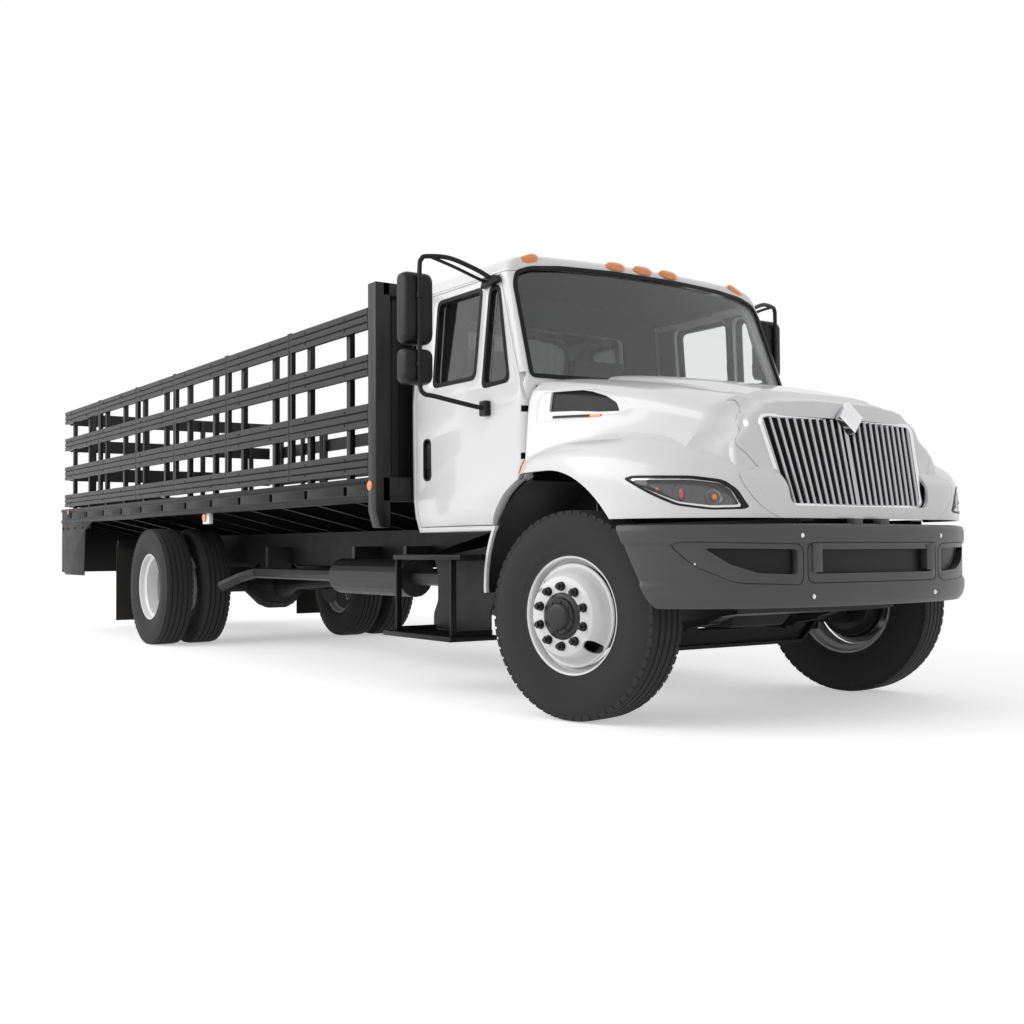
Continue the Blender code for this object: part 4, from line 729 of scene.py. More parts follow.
@dataclass
class Repeat:
    """A Geometry Nodes tree that sets copies of one small form on a row or round a ring."""

    item: Mesh
    finish: Finish

    def _run(self, tree: Tree, values: dict[str, object]) -> Mesh:
        """Run a tree with its named inputs and return the plain mesh."""
        source = placed("item", self.item)
        holder = placed("holder", bpy.data.meshes.new("holder"))
        modifier = holder.modifiers.new("repeat", "NODES")
        modifier.node_group = tree
        for socket in tree.interface.items_tree:
            if socket.item_type == "SOCKET" and socket.in_out == "INPUT":
                modifier[socket.identifier] = source if socket.name == "Item" else values[socket.name]
        result = evaluated(holder)
        holder.modifiers.remove(modifier)
        bpy.data.objects.remove(holder)
        bpy.data.objects.remove(source)
        bpy.data.node_groups.remove(tree)
        return result

    def _tree(self, name: str, numbers: dict[str, str]) -> Tree:
        """Start a tree with an Item input and other named ones."""
        tree = bpy.data.node_groups.new(name, "GeometryNodeTree")
        tree.interface.new_socket("Item", in_out="INPUT", socket_type="NodeSocketObject")
        for label, kind in numbers.items():
            tree.interface.new_socket(label, in_out="INPUT", socket_type=kind)
        tree.interface.new_socket("Geometry", in_out="OUTPUT", socket_type="NodeSocketGeometry")
        tree.nodes.new("NodeGroupInput").name = "in"
        tree.nodes.new("NodeGroupOutput").name = "out"
        return tree

    def _end(self, tree: Tree, copies: Node) -> None:
        """End a tree in Realize Instances and Set Material."""
        real = wire(tree, "GeometryNodeRealizeInstances", {"Geometry": (copies, "Instances")})
        painted = wire(tree, "GeometryNodeSetMaterial", {"Geometry": (real, "Geometry"),
                                                         "Material": self.finish.material()})
        fill(tree, tree.nodes["out"], {"Geometry": (painted, "Geometry")})

    def row(self, count: int, start: Point, step: Point) -> Mesh:
        """Copies in a straight row.

        Args:
            count: number of copies.
            start: place of the first one.
            step: from one copy to the next.

        Returns:
            The copies as one mesh.
        """
        tree = self._tree("row", {"Count": "NodeSocketInt", "Start": "NodeSocketVector",
                                  "Step": "NodeSocketVector"})
        given = tree.nodes["in"]
        line = wire(tree, "GeometryNodeMeshLine",
                    {"Count": (given, "Count"), "Start Location": (given, "Start"),
                                                   "Offset": (given, "Step")})
        info = wire(tree, "GeometryNodeObjectInfo", {"Object": (given, "Item")})
        copies = wire(tree, "GeometryNodeInstanceOnPoints",
                      {"Points": (line, "Mesh"), "Instance": (info, "Geometry")})
        self._end(tree, copies)
        return self._run(tree, {"Count": count, "Start": start, "Step": step})

    def ring(self, count: int, centre: Point, first: float = 0.0) -> Mesh:
        """Copies round a line along Y, each turned with its place.

        Args:
            count: number of copies.
            centre: point on the line; the item is drawn relative to it, at angle 0 along X.
            first: angle of the first copy in degrees.

        Returns:
            The copies as one mesh.
        """
        tree = self._tree("ring", {"Count": "NodeSocketInt", "Centre": "NodeSocketVector",
                                   "Step": "NodeSocketFloat", "First": "NodeSocketFloat"})
        given = tree.nodes["in"]
        line = wire(tree, "GeometryNodeMeshLine",
                    {"Count": (given, "Count"), "Start Location": (given, "Centre"),
                                                   "Offset": (0.0, 0.0, 0.0)})
        info = wire(tree, "GeometryNodeObjectInfo", {"Object": (given, "Item")})
        index = wire(tree, "GeometryNodeInputIndex", {})
        angle = maths(tree, "MULTIPLY_ADD", (index, 0), (given, "Step"), (given, "First"))
        turn = wire(tree, "ShaderNodeCombineXYZ", {"Y": (angle, 0)})
        copies = wire(tree, "GeometryNodeInstanceOnPoints",
                      {"Points": (line, "Mesh"), "Instance": (info, "Geometry"),
                                                             "Rotation": (turn, 0)})
        self._end(tree, copies)
        return self._run(tree, {"Count": count, "Centre": centre, "Step": 2 * pi / count,
                                "First": radians(first)})


def bolt(axis: Axis, radius: float, height: float, out: int = 1) -> Mesh:
    """A hexagonal bolt head on a washer, standing on the origin.

    Args:
        axis: direction that it stands along.
        radius: across its corners.
        height: of the head.
        out: 1 or -1, the way that it stands.

    Returns:
        The mesh.
    """
    washer = disc(axis, (0.0, 0.0), radius * 1.35, *span(out, 0.0, height * 0.25), 14)
    head = disc(axis, (0.0, 0.0), radius, *span(out, height * 0.2, height), 6)
    return together(washer, head)


def dress(node: str, finish: Finish | Glass) -> None:
    """Give a CAD node that stays in view its finish."""
    obj = frame["nodes"][node]
    obj.data.materials.clear()
    obj.data.materials.append(finish.material())
    LOG.info("%s keeps its form in %s", node, finish.name)


# Cab

@dataclass
class CabForm:
    """The cab's outer form, which shell, roof, doors and glass are all cut from."""

    rear: float = -1.690
    levels: tuple[tuple[float, float, float, float, float], ...] = (
        # Z, half width, front X, bow of the front, share of the wall taken off the height inside
        (0.930, 0.955, -0.505, 0.0, 0.0),
        (1.020, 0.982, -0.505, 0.0, 0.0),
        (1.120, 0.995, -0.505, 0.0, 0.0),
        (1.600, 1.000, -0.505, 0.0, 0.0),
        (1.700, 1.000, -0.470, 0.040, 0.0),
        (2.290, 0.954, -0.6866, 0.0495, 0.4),
        (2.340, 0.950, -0.705, 0.050, 0.5),
        (2.375, 0.940, -0.718, 0.051, 0.7),
        (2.400, 0.926, -0.727, 0.052, 0.8),
        (2.420, 0.902, -0.735, 0.053, 0.9),
        (2.438, 0.866, -0.746, 0.055, 1.0),
        (2.454, 0.808, -0.760, 0.054, 1.0),
        (2.469, 0.712, -0.783, 0.052, 1.0),
        (2.483, 0.590, -0.815, 0.048, 1.0),
        (2.493, 0.450, -0.855, 0.043, 1.0),
        (2.4995, 0.300, -0.905, 0.038, 1.0),
    )

    def ring(self, z: float, half: float, front: float, bow: float) -> list[Point]:
        """One level of the outline, with a bowed front and round corners."""
        nose = [(front + bow * (1 - s * s), s * (half - 0.050), z) for s in (k / 8 for k in range(-8, 9))]
        corner = [(front - 0.050 + 0.050 * cos(a) ** 0.8, half - 0.050 + 0.050 * sin(a) ** 0.8, z)
                  for a in (radians(v) for v in (22.5, 45.0, 67.5))]
        flank = [*corner, (front - 0.055, half, z), (self.rear + 0.050, half, z)]
        flank += [(self.rear + 0.045 - 0.045 * sin(a), half - 0.045 + 0.045 * cos(a), z)
                  for a in (radians(v) for v in (22.5, 45.0, 67.5, 90.0))]
        return nose + flank + [(x, -y, zz) for x, y, zz in reversed(flank)]

    def form(self, inset: float = 0.0, forward: float = 0.0, low: float | None = None) -> Mesh:
        """The closed form, moved in by a distance.

        Args:
            inset: how far each wall moves in.
            forward: how far the front moves out again.
            low: height of the bottom, if it isn't the cab floor's own.

        Returns:
            The mesh.
        """
        rings = []
        for n, (z, half, front, bow, share) in enumerate(self.levels):
            level = z - inset * share
            if n == 0:
                level = z + inset if low is None else low
            inner = self.ring(level, half - inset, front - inset + forward, bow)
            rings.append([(max(x, self.rear + inset), y, zz) for x, y, zz in inner])
        return loft(rings)


@dataclass
class Cab:
    """Cab shell, roof, glazing and doors with their seals and handles, and the roof's marker lamps."""

    form: CabForm
    wall: float = 0.055
    roof_joint: float = 2.345
    under: tuple[float, float] = (0.600, 0.980)
    floor_top: float = 1.030
    arch_front: Flat = (-0.100, 0.605)
    arch_rear: Flat = (-0.335, 0.585)
    arch_top: float = 1.215
    sill_top: float = 0.963
    door_rear: float = -1.620
    hinge: Flat = (-0.530, 0.985)
    window: tuple[Flat, ...] = ((-1.430, 1.775), (-0.965, 1.775), (-0.945, 2.290), (-1.430, 2.290))
    vent: tuple[Flat, ...] = ((-0.895, 1.715), (-0.620, 1.725), (-0.775, 2.280), (-0.875, 2.280))
    handle: tuple[Flat, ...] = rectangle((-1.528, 1.238), (-1.452, 1.475))

    def arch(self, grow: float = 0.0, bottom: float = 0.0) -> list[Flat]:
        """The wheel arch seen from the side, grown by a distance and open at the bottom."""
        (front_x, front_r), (rear_x, rear_r) = self.arch_front, self.arch_rear
        rear = arc((rear_x, self.arch_top - rear_r), rear_r + grow, 90, 180, 24)
        front = arc((front_x, self.arch_top - front_r), front_r + grow, 0, 90, 24)
        return [(front[0][0], bottom), *front, *rear, (rear[-1][0], bottom)]

    def door_outline(self, grow: float = 0.0) -> list[Flat]:
        """The door seen from the side, before the wheel arch is cut."""
        front = -0.505 + 0.2 * grow
        return [(self.door_rear - grow, self.sill_top - grow), (front, self.sill_top - grow), (front, 1.610),
                (-0.530 + grow, 1.730), (-0.780 + grow, 2.330 + grow), (self.door_rear - grow, 2.330 + grow)]

    def screen(self, grow: float = 0.0) -> list[Flat]:
        """Outline of the windshield opening, seen from the front."""
        half = [(0.953, 1.742), (0.925, 2.270), (0.895, 2.342), (0.800, 2.378), (0.600, 2.400), (0.250, 2.411)]
        return offset(rounded(half + [(-y, z) for y, z in reversed(half)], 0.030), grow)

    def rear_screen(self, grow: float = 0.0) -> list[Flat]:
        """Outline of the rear window."""
        half = 0.620 + grow
        return rounded(rectangle((-half, 1.750 - grow), (half, 2.240 + grow)), 0.06 + grow)

    def skin_band(self, low: float, high: float, outline: Sequence[Flat], axis: Axis, reach: Flat) -> Mesh:
        """A layer of the cab's surface between two depths, kept inside an outline."""
        return common(between(self.form.form, low, high), prism(outline, axis, *reach))

    def build_shell(self) -> None:
        """Shell and roof, cut from one hollow form."""
        hollow = cut(self.form.form(), self.form.form(self.wall, low=self.floor_top))
        room = self.form.form(self.wall + 0.015, forward=0.4, low=0.5)
        doors = [cut(sideways(self.door_outline(0.005), side, *DOOR_REACH), room.copy())
                 for _, side in SIDES]
        arches = [sideways(self.arch(), side, *DOOR_REACH) for _, side in SIDES]
        screens = [prism(self.screen(), Axis.X, *SCREEN_REACH), prism(self.rear_screen(), Axis.X, *REAR_REACH)]
        top = box((-3.0, -2.0, self.roof_joint), (1.0, 2.0, 3.0))
        under = box((-3.0, -self.under[0], 0.5), (1.0, self.under[0], self.under[1]))
        reliefs = [disc(Axis.Z, (self.hinge[0], side * self.hinge[1]), 0.034, 1.600, 1.765)
                   for _, side in SIDES]
        shell = cut(hollow.copy(), *doors, *arches, *screens, *reliefs, top, under)
        x, radius = self.arch_rear
        centre = (x, self.arch_top - radius)
        low_angle = 184.0
        liner = (arc(centre, radius + 0.015, 106, low_angle, 24)
                 + arc(centre, radius - 0.003, low_angle, 106, 24))
        flange = arc(centre, radius + 0.022, 148, low_angle, 14) + arc(centre, radius, low_angle, 148, 14)
        extras = []
        for name, side in SIDES:
            wall = common(sideways(self.arch(-0.004), side, 0.5005, 0.5035),
                          box((-0.930, -0.6, 0.985), (-0.510, 0.6, 1.300)))
            apron = together(sideways(liner, side, 0.480, 0.9395), wall)
            piece(f"arch_liner_{name}", apron, TRIM, "chassis")
            extras.append(sideways(flange, side, 0.940, 0.960))
            leaves = [side_box(side, (self.hinge[0] - 0.006, self.hinge[0] + 0.006), (0.92, self.hinge[1]),
                               (level - 0.015, level + 0.015))
                      for level in HINGE_LEVELS]
            piece(f"door_hinges_{name}", together(*leaves), TRIM, "chassis")
        piece("cab_shell_skin", softened(joined(shell, *extras), EDGE), WHITE, "chassis", ("cab_shell",))
        # Black sheet on the cab's front wall under the hood: painted shade, seen through the wheel arches and
        # the door gaps.
        shade_sheet = common(between(self.form.form, -0.003, 0.0005), box((-0.70, -0.93, 0.985), (0.3, 0.93, 1.690)))
        piece("firewall_cover", cut(shade_sheet, *[sideways(self.arch(), side, *DOOR_REACH)
                                             for _, side in SIDES]), TRIM, "chassis")
        below = box((-3.0, -2.0, 0.0), (1.0, 2.0, self.roof_joint + 0.003))
        roof = cut(hollow, below, prism(self.screen(), Axis.X, *SCREEN_REACH))
        piece("cab_roof_skin", softened(roof, FINE_EDGE), WHITE, "chassis", ("cab_roof",))
        line = rectangle((-2.0, self.roof_joint - 0.004), (0.5, self.roof_joint + 0.006))
        joint = self.skin_band(0.004, 0.012, line, Axis.Y, (-1.2, 1.2))
        joint = cut(joint, prism(self.screen(0.004), Axis.X, *SCREEN_REACH))
        piece("roof_joint_seal", joint, SEAL, "chassis")
        self.build_lining(doors, screens)

    def build_lining(self, doors: Sequence[Mesh], screens: Sequence[Mesh]) -> None:
        """The dark headliner and rear wall of the cab, and the inner panels of the doors."""
        depth = self.wall + 0.0005
        layer = cut(self.form.form(depth, low=1.100), self.form.form(depth + 0.006, low=1.000))
        floor = box((-3.0, -2.0, 0.9), (1.0, 2.0, 1.110))
        front = box((-0.600, -2.0, 0.9), (1.0, 2.0, 1.760))
        openings = [mesh.copy() for mesh in (*doors, *screens)]
        piece("cab_lining", cut(layer, floor, front, *openings), LINER, "chassis")
        for name, side in SIDES:
            reach = span(side, *DOOR_REACH)
            panel = cut(self.form.form(depth, forward=0.2, low=0.9),
                        self.form.form(depth + 0.008, forward=0.3, low=0.8))
            panel = common(panel, prism(offset(self.door_outline(), -0.030), Axis.Y, *reach))
            holes = [prism(rounded(offset(o, 0.010), 0.05), Axis.Y, *reach) for o in (self.window, self.vent)]
            panel = cut(panel, prism(self.arch(0.060), Axis.Y, *reach), *holes)
            piece(f"door_{name}_lining", panel, LINER, f"door_{name}")

    def build_screens(self) -> None:
        """Windshield and rear window in their black seals."""
        for name, outline, reach in (("windshield", self.screen, SCREEN_REACH),
                                     ("rear_window", self.rear_screen, REAR_REACH)):
            glass = self.skin_band(0.006, 0.012, outline(-0.001), Axis.X, reach)
            piece(f"{name}_pane", glass, TINTED, "chassis", (name,))
            ring = cut(prism(outline(0.008), Axis.X, *reach), prism(outline(-0.016), Axis.X, -2.1, 0.1))
            seal = common(between(self.form.form, -0.004, 0.005), ring)
            piece(f"{name}_seal", softened(seal, FINE_EDGE), SEAL, "chassis")

    def build_doors(self) -> None:
        """Doors with rubber-edged windows, a sunk handle and glass."""
        for name, side in SIDES:
            body = f"door_{name}"
            reach = span(side, *DOOR_REACH)
            slab = common(self.form.form(), prism(self.door_outline(), Axis.Y, *reach))
            openings = [prism(rounded(o, 0.05), Axis.Y, *reach) for o in (self.window, self.vent)]
            inner = self.form.form(self.wall, forward=0.4, low=0.5)
            sunk = sideways(rounded(self.handle, 0.034), side, 0.972, 1.2)
            notches = [side_box(side, (self.hinge[0] - 0.015, -0.4), (0.9, 0.992),
                                (level - 0.017, level + 0.017))
                       for level in HINGE_LEVELS]
            door = cut(slab, inner, prism(self.arch(0.024), Axis.Y, *reach), sunk, *openings, *notches)
            piece(f"door_{name}_panel", softened(door, EDGE), WHITE, body, (f"door_{name}",))
            for part, outline in (("window", self.window), ("vent", self.vent)):
                edge = cut(prism(rounded(offset(outline, 0.003), 0.05), Axis.Y, *reach),
                           prism(rounded(offset(outline, -0.022), 0.04), Axis.Y, -1.3, 1.3))
                seal = common(between(self.form.form, -0.003, 0.034), edge)
                piece(f"door_{name}_{part}_seal", softened(seal, FINE_EDGE), SEAL, body)
            panes = [self.skin_band(0.018, 0.024, rounded(offset(o, -0.010), 0.045), Axis.Y, reach)
                     for o in (self.window, self.vent)]
            piece(f"door_{name}_panes", together(*panes), TINTED, body, (f"door_glass_{name}",))
            self.build_handle(name, side)

    def build_handle(self, name: str, side: int) -> None:
        """The black sunk cup of a door handle with its pull and lock."""
        outline = rounded(offset(self.handle, 0.006), 0.038)
        rim = cut(sideways(outline, side, 0.9735, 1.0025),
                  sideways(rounded(offset(self.handle, -0.006), 0.03), side, 0.978, 1.2))
        pull = sideways(rounded(rectangle((-1.516, 1.300), (-1.464, 1.452)), 0.02), side, 0.9775, 0.996)
        lock = disc(Axis.Y, (-1.490, 1.268), 0.011, *span(side, 0.977, 0.988), 20)
        piece(f"door_{name}_handle", softened(together(rim, pull, lock), FINE_EDGE), TRIM, f"door_{name}")

    def build_marker_lamps(self) -> None:
        """Five amber lamps on the front edge of the roof."""
        places = ((-0.742, 0.790, 2.428, -22.0), (-0.700, 0.201, 2.452, -2.0), (-0.698, 0.0, 2.453, 0.0),
                  (-0.700, -0.201, 2.452, 2.0), (-0.742, -0.790, 2.428, 22.0))
        bodies = []
        for x, y, z, lean in places:
            rows = []
            for k in range(9):
                share = k / 4 - 1
                half = 0.010 + 0.024 * (1 - share ** 4)
                rise = 0.004 + 0.014 * (1 - share ** 4)
                rows.append([(0.0 - half, share * 0.072, 0.0), (-0.7 * half, share * 0.072, 0.8 * rise),
                             (-0.2 * half, share * 0.070, rise), (0.5 * half, share * 0.068, 0.8 * rise),
                             (half, share * 0.066, 0.0), (0.0, share * 0.070, -0.012)])
            turn = Matrix.Translation((x, y, z)) @ Matrix.Rotation(radians(lean), 4, "X")
            turn = turn @ Matrix.Rotation(radians(48), 4, "Y")
            bodies.append(moved(loft(rows), turn))
        piece("roof_marker_lamps", together(*bodies), AMBER, "chassis")

    def build(self) -> None:
        """Build every piece of the cab."""
        self.build_shell()
        self.build_screens()
        self.build_doors()
        self.build_marker_lamps()


@dataclass
class Mirrors:
    """Door mirrors: a tall flat one and a short wide-angle one on a tube loop."""

    x: float = -0.950
    y: float = 1.360
    top: float = 2.430
    tube_r: float = 0.013
    heads: tuple[Flat, ...] = ((1.945, 2.340), (1.727, 1.922))

    def head(self, low: float, high: float, side: int) -> tuple[Mesh, Mesh]:
        """A rounded housing and the mirror plate in its rear face."""
        middle, half_y, half_z = (low + high) / 2, 0.0925, (high - low) / 2
        centre_y = side * 1.3475
        rows = []
        outline = rounded(rectangle((-half_y, -half_z), (half_y, half_z)), 0.045)
        for depth, share in ((0.0, 0.985), (0.004, 1.0), (0.045, 1.0), (0.070, 0.965), (0.086, 0.89),
                             (0.096, 0.74), (0.100, 0.50)):
            rows.append([(self.x - 0.110 + depth, centre_y + y * share, middle + z * share)
                         for y, z in outline])
        plate = rounded(rectangle((-half_y + 0.012, -half_z + 0.012), (half_y - 0.012, half_z - 0.012)), 0.035)
        glass = prism([(centre_y + y, middle + z) for y, z in plate], Axis.X, self.x - 0.1105, self.x - 0.1080)
        return loft(rows), glass

    def build(self) -> None:
        """Build both mirrors."""
        for name, side in SIDES:
            loop = [(-0.832, 1.012, 1.602), (-0.850, 1.060, 1.606), (-0.915, 1.280, 1.655),
                    (-0.938, 1.345, 1.672),
                    (self.x, self.y, 1.740), (self.x, self.y, 2.000), (self.x, self.y, 2.340),
                    (-0.945, 1.350, 2.400), (-0.935, 1.320, self.top - 0.013), (-0.900, 1.200, 2.415),
                    (-0.860, 1.060, 2.365), (-0.840, 0.980, 2.325)]
            stay = [(-0.925, 1.300, 2.412), (-0.905, 1.180, 2.375), (-0.885, 1.040, 2.325),
                    (-0.880, 0.975, 2.305)]
            tubes = [tube([(x, side * y, z) for x, y, z in curved(p, 6)], r)
                     for p, r in ((loop, self.tube_r), (stay, 0.009))]
            block = sideways(rounded(rectangle((-0.868, 1.556), (-0.802, 1.640)), 0.012), side, 1.0003, 1.036)
            foot = rounded([(-0.925, 2.272), (-0.745, 2.288), (-0.770, 2.330), (-0.900, 2.330)], 0.015)
            foot = sideways(foot, side, 0.957, 0.990)
            clamps = [disc(Axis.Z, (self.x, side * self.y), 0.019, z - 0.012, z + 0.012)
                      for z in (2.200, 1.830)]
            heads = [self.head(low, high, side) for low, high in self.heads]
            frame_mesh = together(*tubes, *clamps, softened(block, 0.006), softened(foot, 0.006),
                                  *(shell for shell, _ in heads))
            piece(f"mirror_{name}_frame", frame_mesh, TRIM, f"door_{name}", (f"mirror_{name}",), smooth=40.0)
            piece(f"mirror_{name}_plates", together(*(glass for _, glass in heads)), BRIGHT, f"door_{name}")


# Hood

@dataclass
class Hood:
    """Tilting hood with its fenders, silver surround, grille, vents and lamps."""

    cab: Cab
    bottom: float = 0.966
    wall: float = 0.020
    gap: float = 0.009
    nose: float = 0.930
    slope: float = 0.20
    valley: float = 0.022
    nose_edge: tuple[Flat, ...] = ((0.028, 0.0), (0.012, 0.002), (0.003, 0.007), (0.0, 0.016))
    side_bars: int = 11
    grille_top: Flat = (0.545, 1.448)
    grille_low: Flat = (0.485, 1.023)
    louvres: tuple[float, ...] = (1.527, 1.550, 1.573, 1.596, 1.619)
    rows: tuple[tuple[float, ...], ...] = (
        # X, centre Z, crest half width and Z, shoulder half width and Z, side half width
        (-0.700, 1.800, 0.450, 1.790, 0.930, 1.728, 1.000),
        (-0.380, 1.780, 0.430, 1.775, 0.900, 1.705, 0.990),
        (0.200, 1.690, 0.400, 1.690, 0.800, 1.610, 0.930),
        (0.600, 1.590, 0.370, 1.590, 0.680, 1.500, 0.860),
        (0.790, 1.533, 0.400, 1.528, 0.572, 1.470, 0.720),
    )
    fenders: tuple[tuple[float, ...], ...] = (
        # X, half width, crown Z, drop from the crown to the outer edge
        (-0.494, 1.040, 1.290, 0.040),
        (-0.330, 1.120, 1.345, 0.070),
        (-0.050, 1.150, 1.385, 0.100),
        (0.350, 1.145, 1.370, 0.130),
        (0.620, 1.060, 1.290, 0.110),
        (0.780, 0.900, 1.210, 0.070),
        (0.868, 0.700, 1.150, 0.040),
        (0.900, 0.450, 1.100, 0.030),
    )
    lamp: tuple[Flat, ...] = (
        (0.468, 1.148), (0.510, 1.160), (0.735, 1.154), (0.812, 1.136), (0.844, 1.093), (0.866, 1.004),
        (0.792, 1.000), (0.695, 1.021), (0.583, 1.081),
    )
    surround_edge: tuple[Flat, ...] = (
        (0.575, 1.900), (0.590, 1.560), (0.614, 1.525), (0.670, 1.463), (0.716, 1.379), (0.772, 1.276),
        (0.812, 1.182), (0.840, 1.140), (0.862, 1.080), (0.880, 1.010), (0.895, 0.950),
    )

    def nose_x(self, y: float, z: float) -> float:
        """X of the hood's front face at a distance from the middle and a height."""
        return (self.nose - 0.045 - self.slope * (z - 1.02)
                - (0.09 + 0.19 * max(0.0, z - 1.02)) * y * y)

    def middle_form(self, inset: float = 0.0) -> Mesh:
        """The middle of the hood, from the windshield to the nose."""
        sections = []
        rows = curved(self.rows, 8)
        low = self.bottom - (0.50 + inset if inset else 0.05)
        rows = [row for row in rows[:-1] if row[0] < self.rows[-1][0] - 0.045] + [rows[-1]]
        for i, (x, centre, crest_y, crest_z, shoulder_y, shoulder_z, side_y) in enumerate(rows):
            share = max(0.0, (x - self.rows[-2][0]) / (self.rows[-1][0] - self.rows[-2][0]))
            valley = self.valley * sin(pi * min(1.0, share / 0.95)) if i < len(rows) - 1 else 0.0
            crease = min(1.0, max(0.0, (0.700 - x) / 0.300))
            half = [(0.0, centre), (crest_y * 0.55, centre + 0.001), (crest_y * 0.9, crest_z - 0.004),
                    (crest_y + 0.015, crest_z - 0.006 - 0.012 * crease),
                    (crest_y + 0.060, crest_z - 0.016 - 0.024 * crease),
                    ((crest_y + shoulder_y) / 2, (crest_z + shoulder_z) / 2 + 0.010 - 0.016 * crease),
                    (shoulder_y - 0.040, shoulder_z + 0.004), (shoulder_y, shoulder_z - 0.012),
                    (shoulder_y + 0.032, shoulder_z - 0.045), (shoulder_y + 0.045, shoulder_z - 0.090),
                    (side_y - 0.010, 1.300), (side_y, 1.150), (side_y, low)]
            for back, shrink in ((0.0, valley),) if i < len(rows) - 1 else self.nose_edge:
                moved_in = inset + shrink
                shape = curved([(y * (1 - moved_in / max(side_y, 0.3)), z - moved_in if z > low else z)
                                for y, z in half], 3)
                loop = [(-y, z) for y, z in reversed(shape)] + shape[1:]
                start = -inset if i == 0 else 0.0
                sections.append([
                    (x + start + share * (self.nose_x(y, z) - inset - back - self.rows[-1][0]), y, z)
                    for y, z in loop])
        for scale in (0.75, 0.50, 0.25, 0.05):
            small = [(y * scale, 1.2 + (z - 1.2) * scale) for y, z in loop]
            sections.append([(self.nose_x(y, z) - inset, y, z) for y, z in small])
        return loft(sections)

    def fender_form(self, inset: float = 0.0) -> Mesh:
        """Fenders and the low nose between them."""
        sections = []
        rows = curved(self.fenders, 6)
        rows = [row for row in rows[:-1] if row[0] < rows[-1][0] - inset - 0.004] + [rows[-1]]
        low = self.bottom - (0.60 + inset if inset else 0.08)
        for i, (x, half_y, crown, drop) in enumerate(rows):
            half = [(half_y - 0.330, crown + 0.012), (half_y - 0.230, crown),
                    (half_y - 0.120, crown - 0.25 * drop),
                    (half_y - 0.060, crown - drop / 2), (half_y - 0.022, crown - 0.8 * drop - 0.012),
                    (half_y - 0.004, crown - drop - 0.050), (half_y, crown - drop - 0.110), (half_y, low)]
            half = [(y - inset * min(1.0, max(0.0, (y - half_y + 0.3) / 0.3)), z - inset if z > low else z)
                    for y, z in half]
            half = curved(half[:-1], 3) + [half[-1]]
            loop = [(-y, z) for y, z in reversed(half)] + half
            shift = 0.0
            if inset:
                shift = -inset if i == len(rows) - 1 else (-0.2 - inset if i == 0 else 0.0)
            sections.append([(x + shift, y, z) for y, z in loop])
        return loft(sections)

    def grille_outline(self, grow: float = 0.0) -> list[Flat]:
        """The grille seen from the front, with rounded corners."""
        (top, high), (foot, low) = self.grille_top, self.grille_low
        return rounded([(-foot - grow, low - grow), (foot + grow, low - grow), (top + grow, high + grow),
                        (-top - grow, high + grow)], 0.05)

    def vent_outline(self) -> list[Flat]:
        """The air inlet in the hood's side."""
        return rounded([(-0.425, 1.487), (0.100, 1.487), (0.215, 1.510), (0.110, 1.590), (-0.060, 1.630),
                        (-0.380, 1.641), (-0.425, 1.600)], 0.03)

    def build_skin(self) -> None:
        """White hood and silver surround, cut from one hollow form along the surround's edge."""
        outer = joined(self.middle_form(), self.fender_form())
        inner = joined(self.middle_form(self.wall), self.fender_form(self.wall))
        cutters = [self.cab.form.form(-self.gap), box((-2.0, -2.0, 0.0), (-0.505 + self.gap, 2.0, 3.0)),
                   box((-2.0, -2.0, 0.0), (2.0, 2.0, self.bottom)),
                   prism(self.grille_outline(), Axis.X, 0.55, 1.20)]
        lamp = rounded(self.lamp, 0.02)
        for _, side in SIDES:
            cutters.append(sideways(self.cab.arch(), side, 0.9, 1.3))
            cutters.append(sideways(self.vent_outline(), side, 0.7, 1.2))
            cutters.append(sideways(lamp, side, 0.60, 1.30))
        edge = curved(self.surround_edge, 6)
        front = [*edge, (1.3, 0.900), (1.3, 1.900)]
        white = cut(cut(outer.copy(), inner), *[c.copy() for c in cutters],
                    prism(offset(front, 0.003), Axis.Y, -1.5, 1.5))
        piece("hood_skin", softened(white, EDGE), WHITE, "hood", ("hood",))
        silver = common(cut(cut(outer, inner), *[c.copy() for c in cutters]), prism(front, Axis.Y, -1.5, 1.5))
        piece("grille_surround", softened(silver, EDGE), SILVER, "hood")
        lining = cut(joined(self.middle_form(0.0205), self.fender_form(0.0205)),
                     joined(self.middle_form(0.026), self.fender_form(0.026)))
        aprons = [common(side_box(side, (-0.485, 0.600), (0.497, 0.503), (0.985, 1.400)),
                         self.middle_form(0.030))
                  for _, side in SIDES]
        piece("hood_lining", together(cut(lining, *cutters), *aprons), TRIM, "hood")

    def build_grille(self) -> None:
        """Twenty-three upright bars on a dark back plate, inside a rolled rim."""
        bars = []
        for k in range(-self.side_bars, self.side_bars + 1):
            share = k / (self.side_bars + 0.5)
            rows = []
            for n in range(9):
                t = n / 8
                z = self.grille_low[1] + 0.006 + t * (self.grille_top[1] - self.grille_low[1] - 0.012)
                y = share * (self.grille_low[0] + t * (self.grille_top[0] - self.grille_low[0]))
                x, w = self.nose_x(y, z), 0.0080 if k else 0.013
                rows.append([(x - 0.030, y - w, z), (x - 0.010, y - w, z), (x - 0.002, y - 0.6 * w, z),
                             (x + 0.002, y, z), (x - 0.002, y + 0.6 * w, z), (x - 0.010, y + w, z),
                             (x - 0.030, y + w, z)])
            bars.append(loft(rows))
        piece("grille_bars", together(*bars), BAR, "hood", ("grille",))
        outline = self.grille_outline(-0.002)
        rim = [(self.nose_x(y, z) - 0.002, y, z) for y, z in outline]
        piece("grille_rim", tube(rim, 0.011, 10, looped=True), BRIGHT, "hood")
        slices = []
        for k in range(-8, 9):
            corners = [(k / 8 * half, z) for half, z in (self.grille_low, self.grille_top)]
            near = [(self.nose_x(y, z) - 0.036, y, z) for y, z in corners]
            slices.append(near + [(x + 0.006, y, z) for x, y, z in reversed(near)])
        piece("grille_back", loft(slices), TRIM, "hood")
        self.build_badge_place()

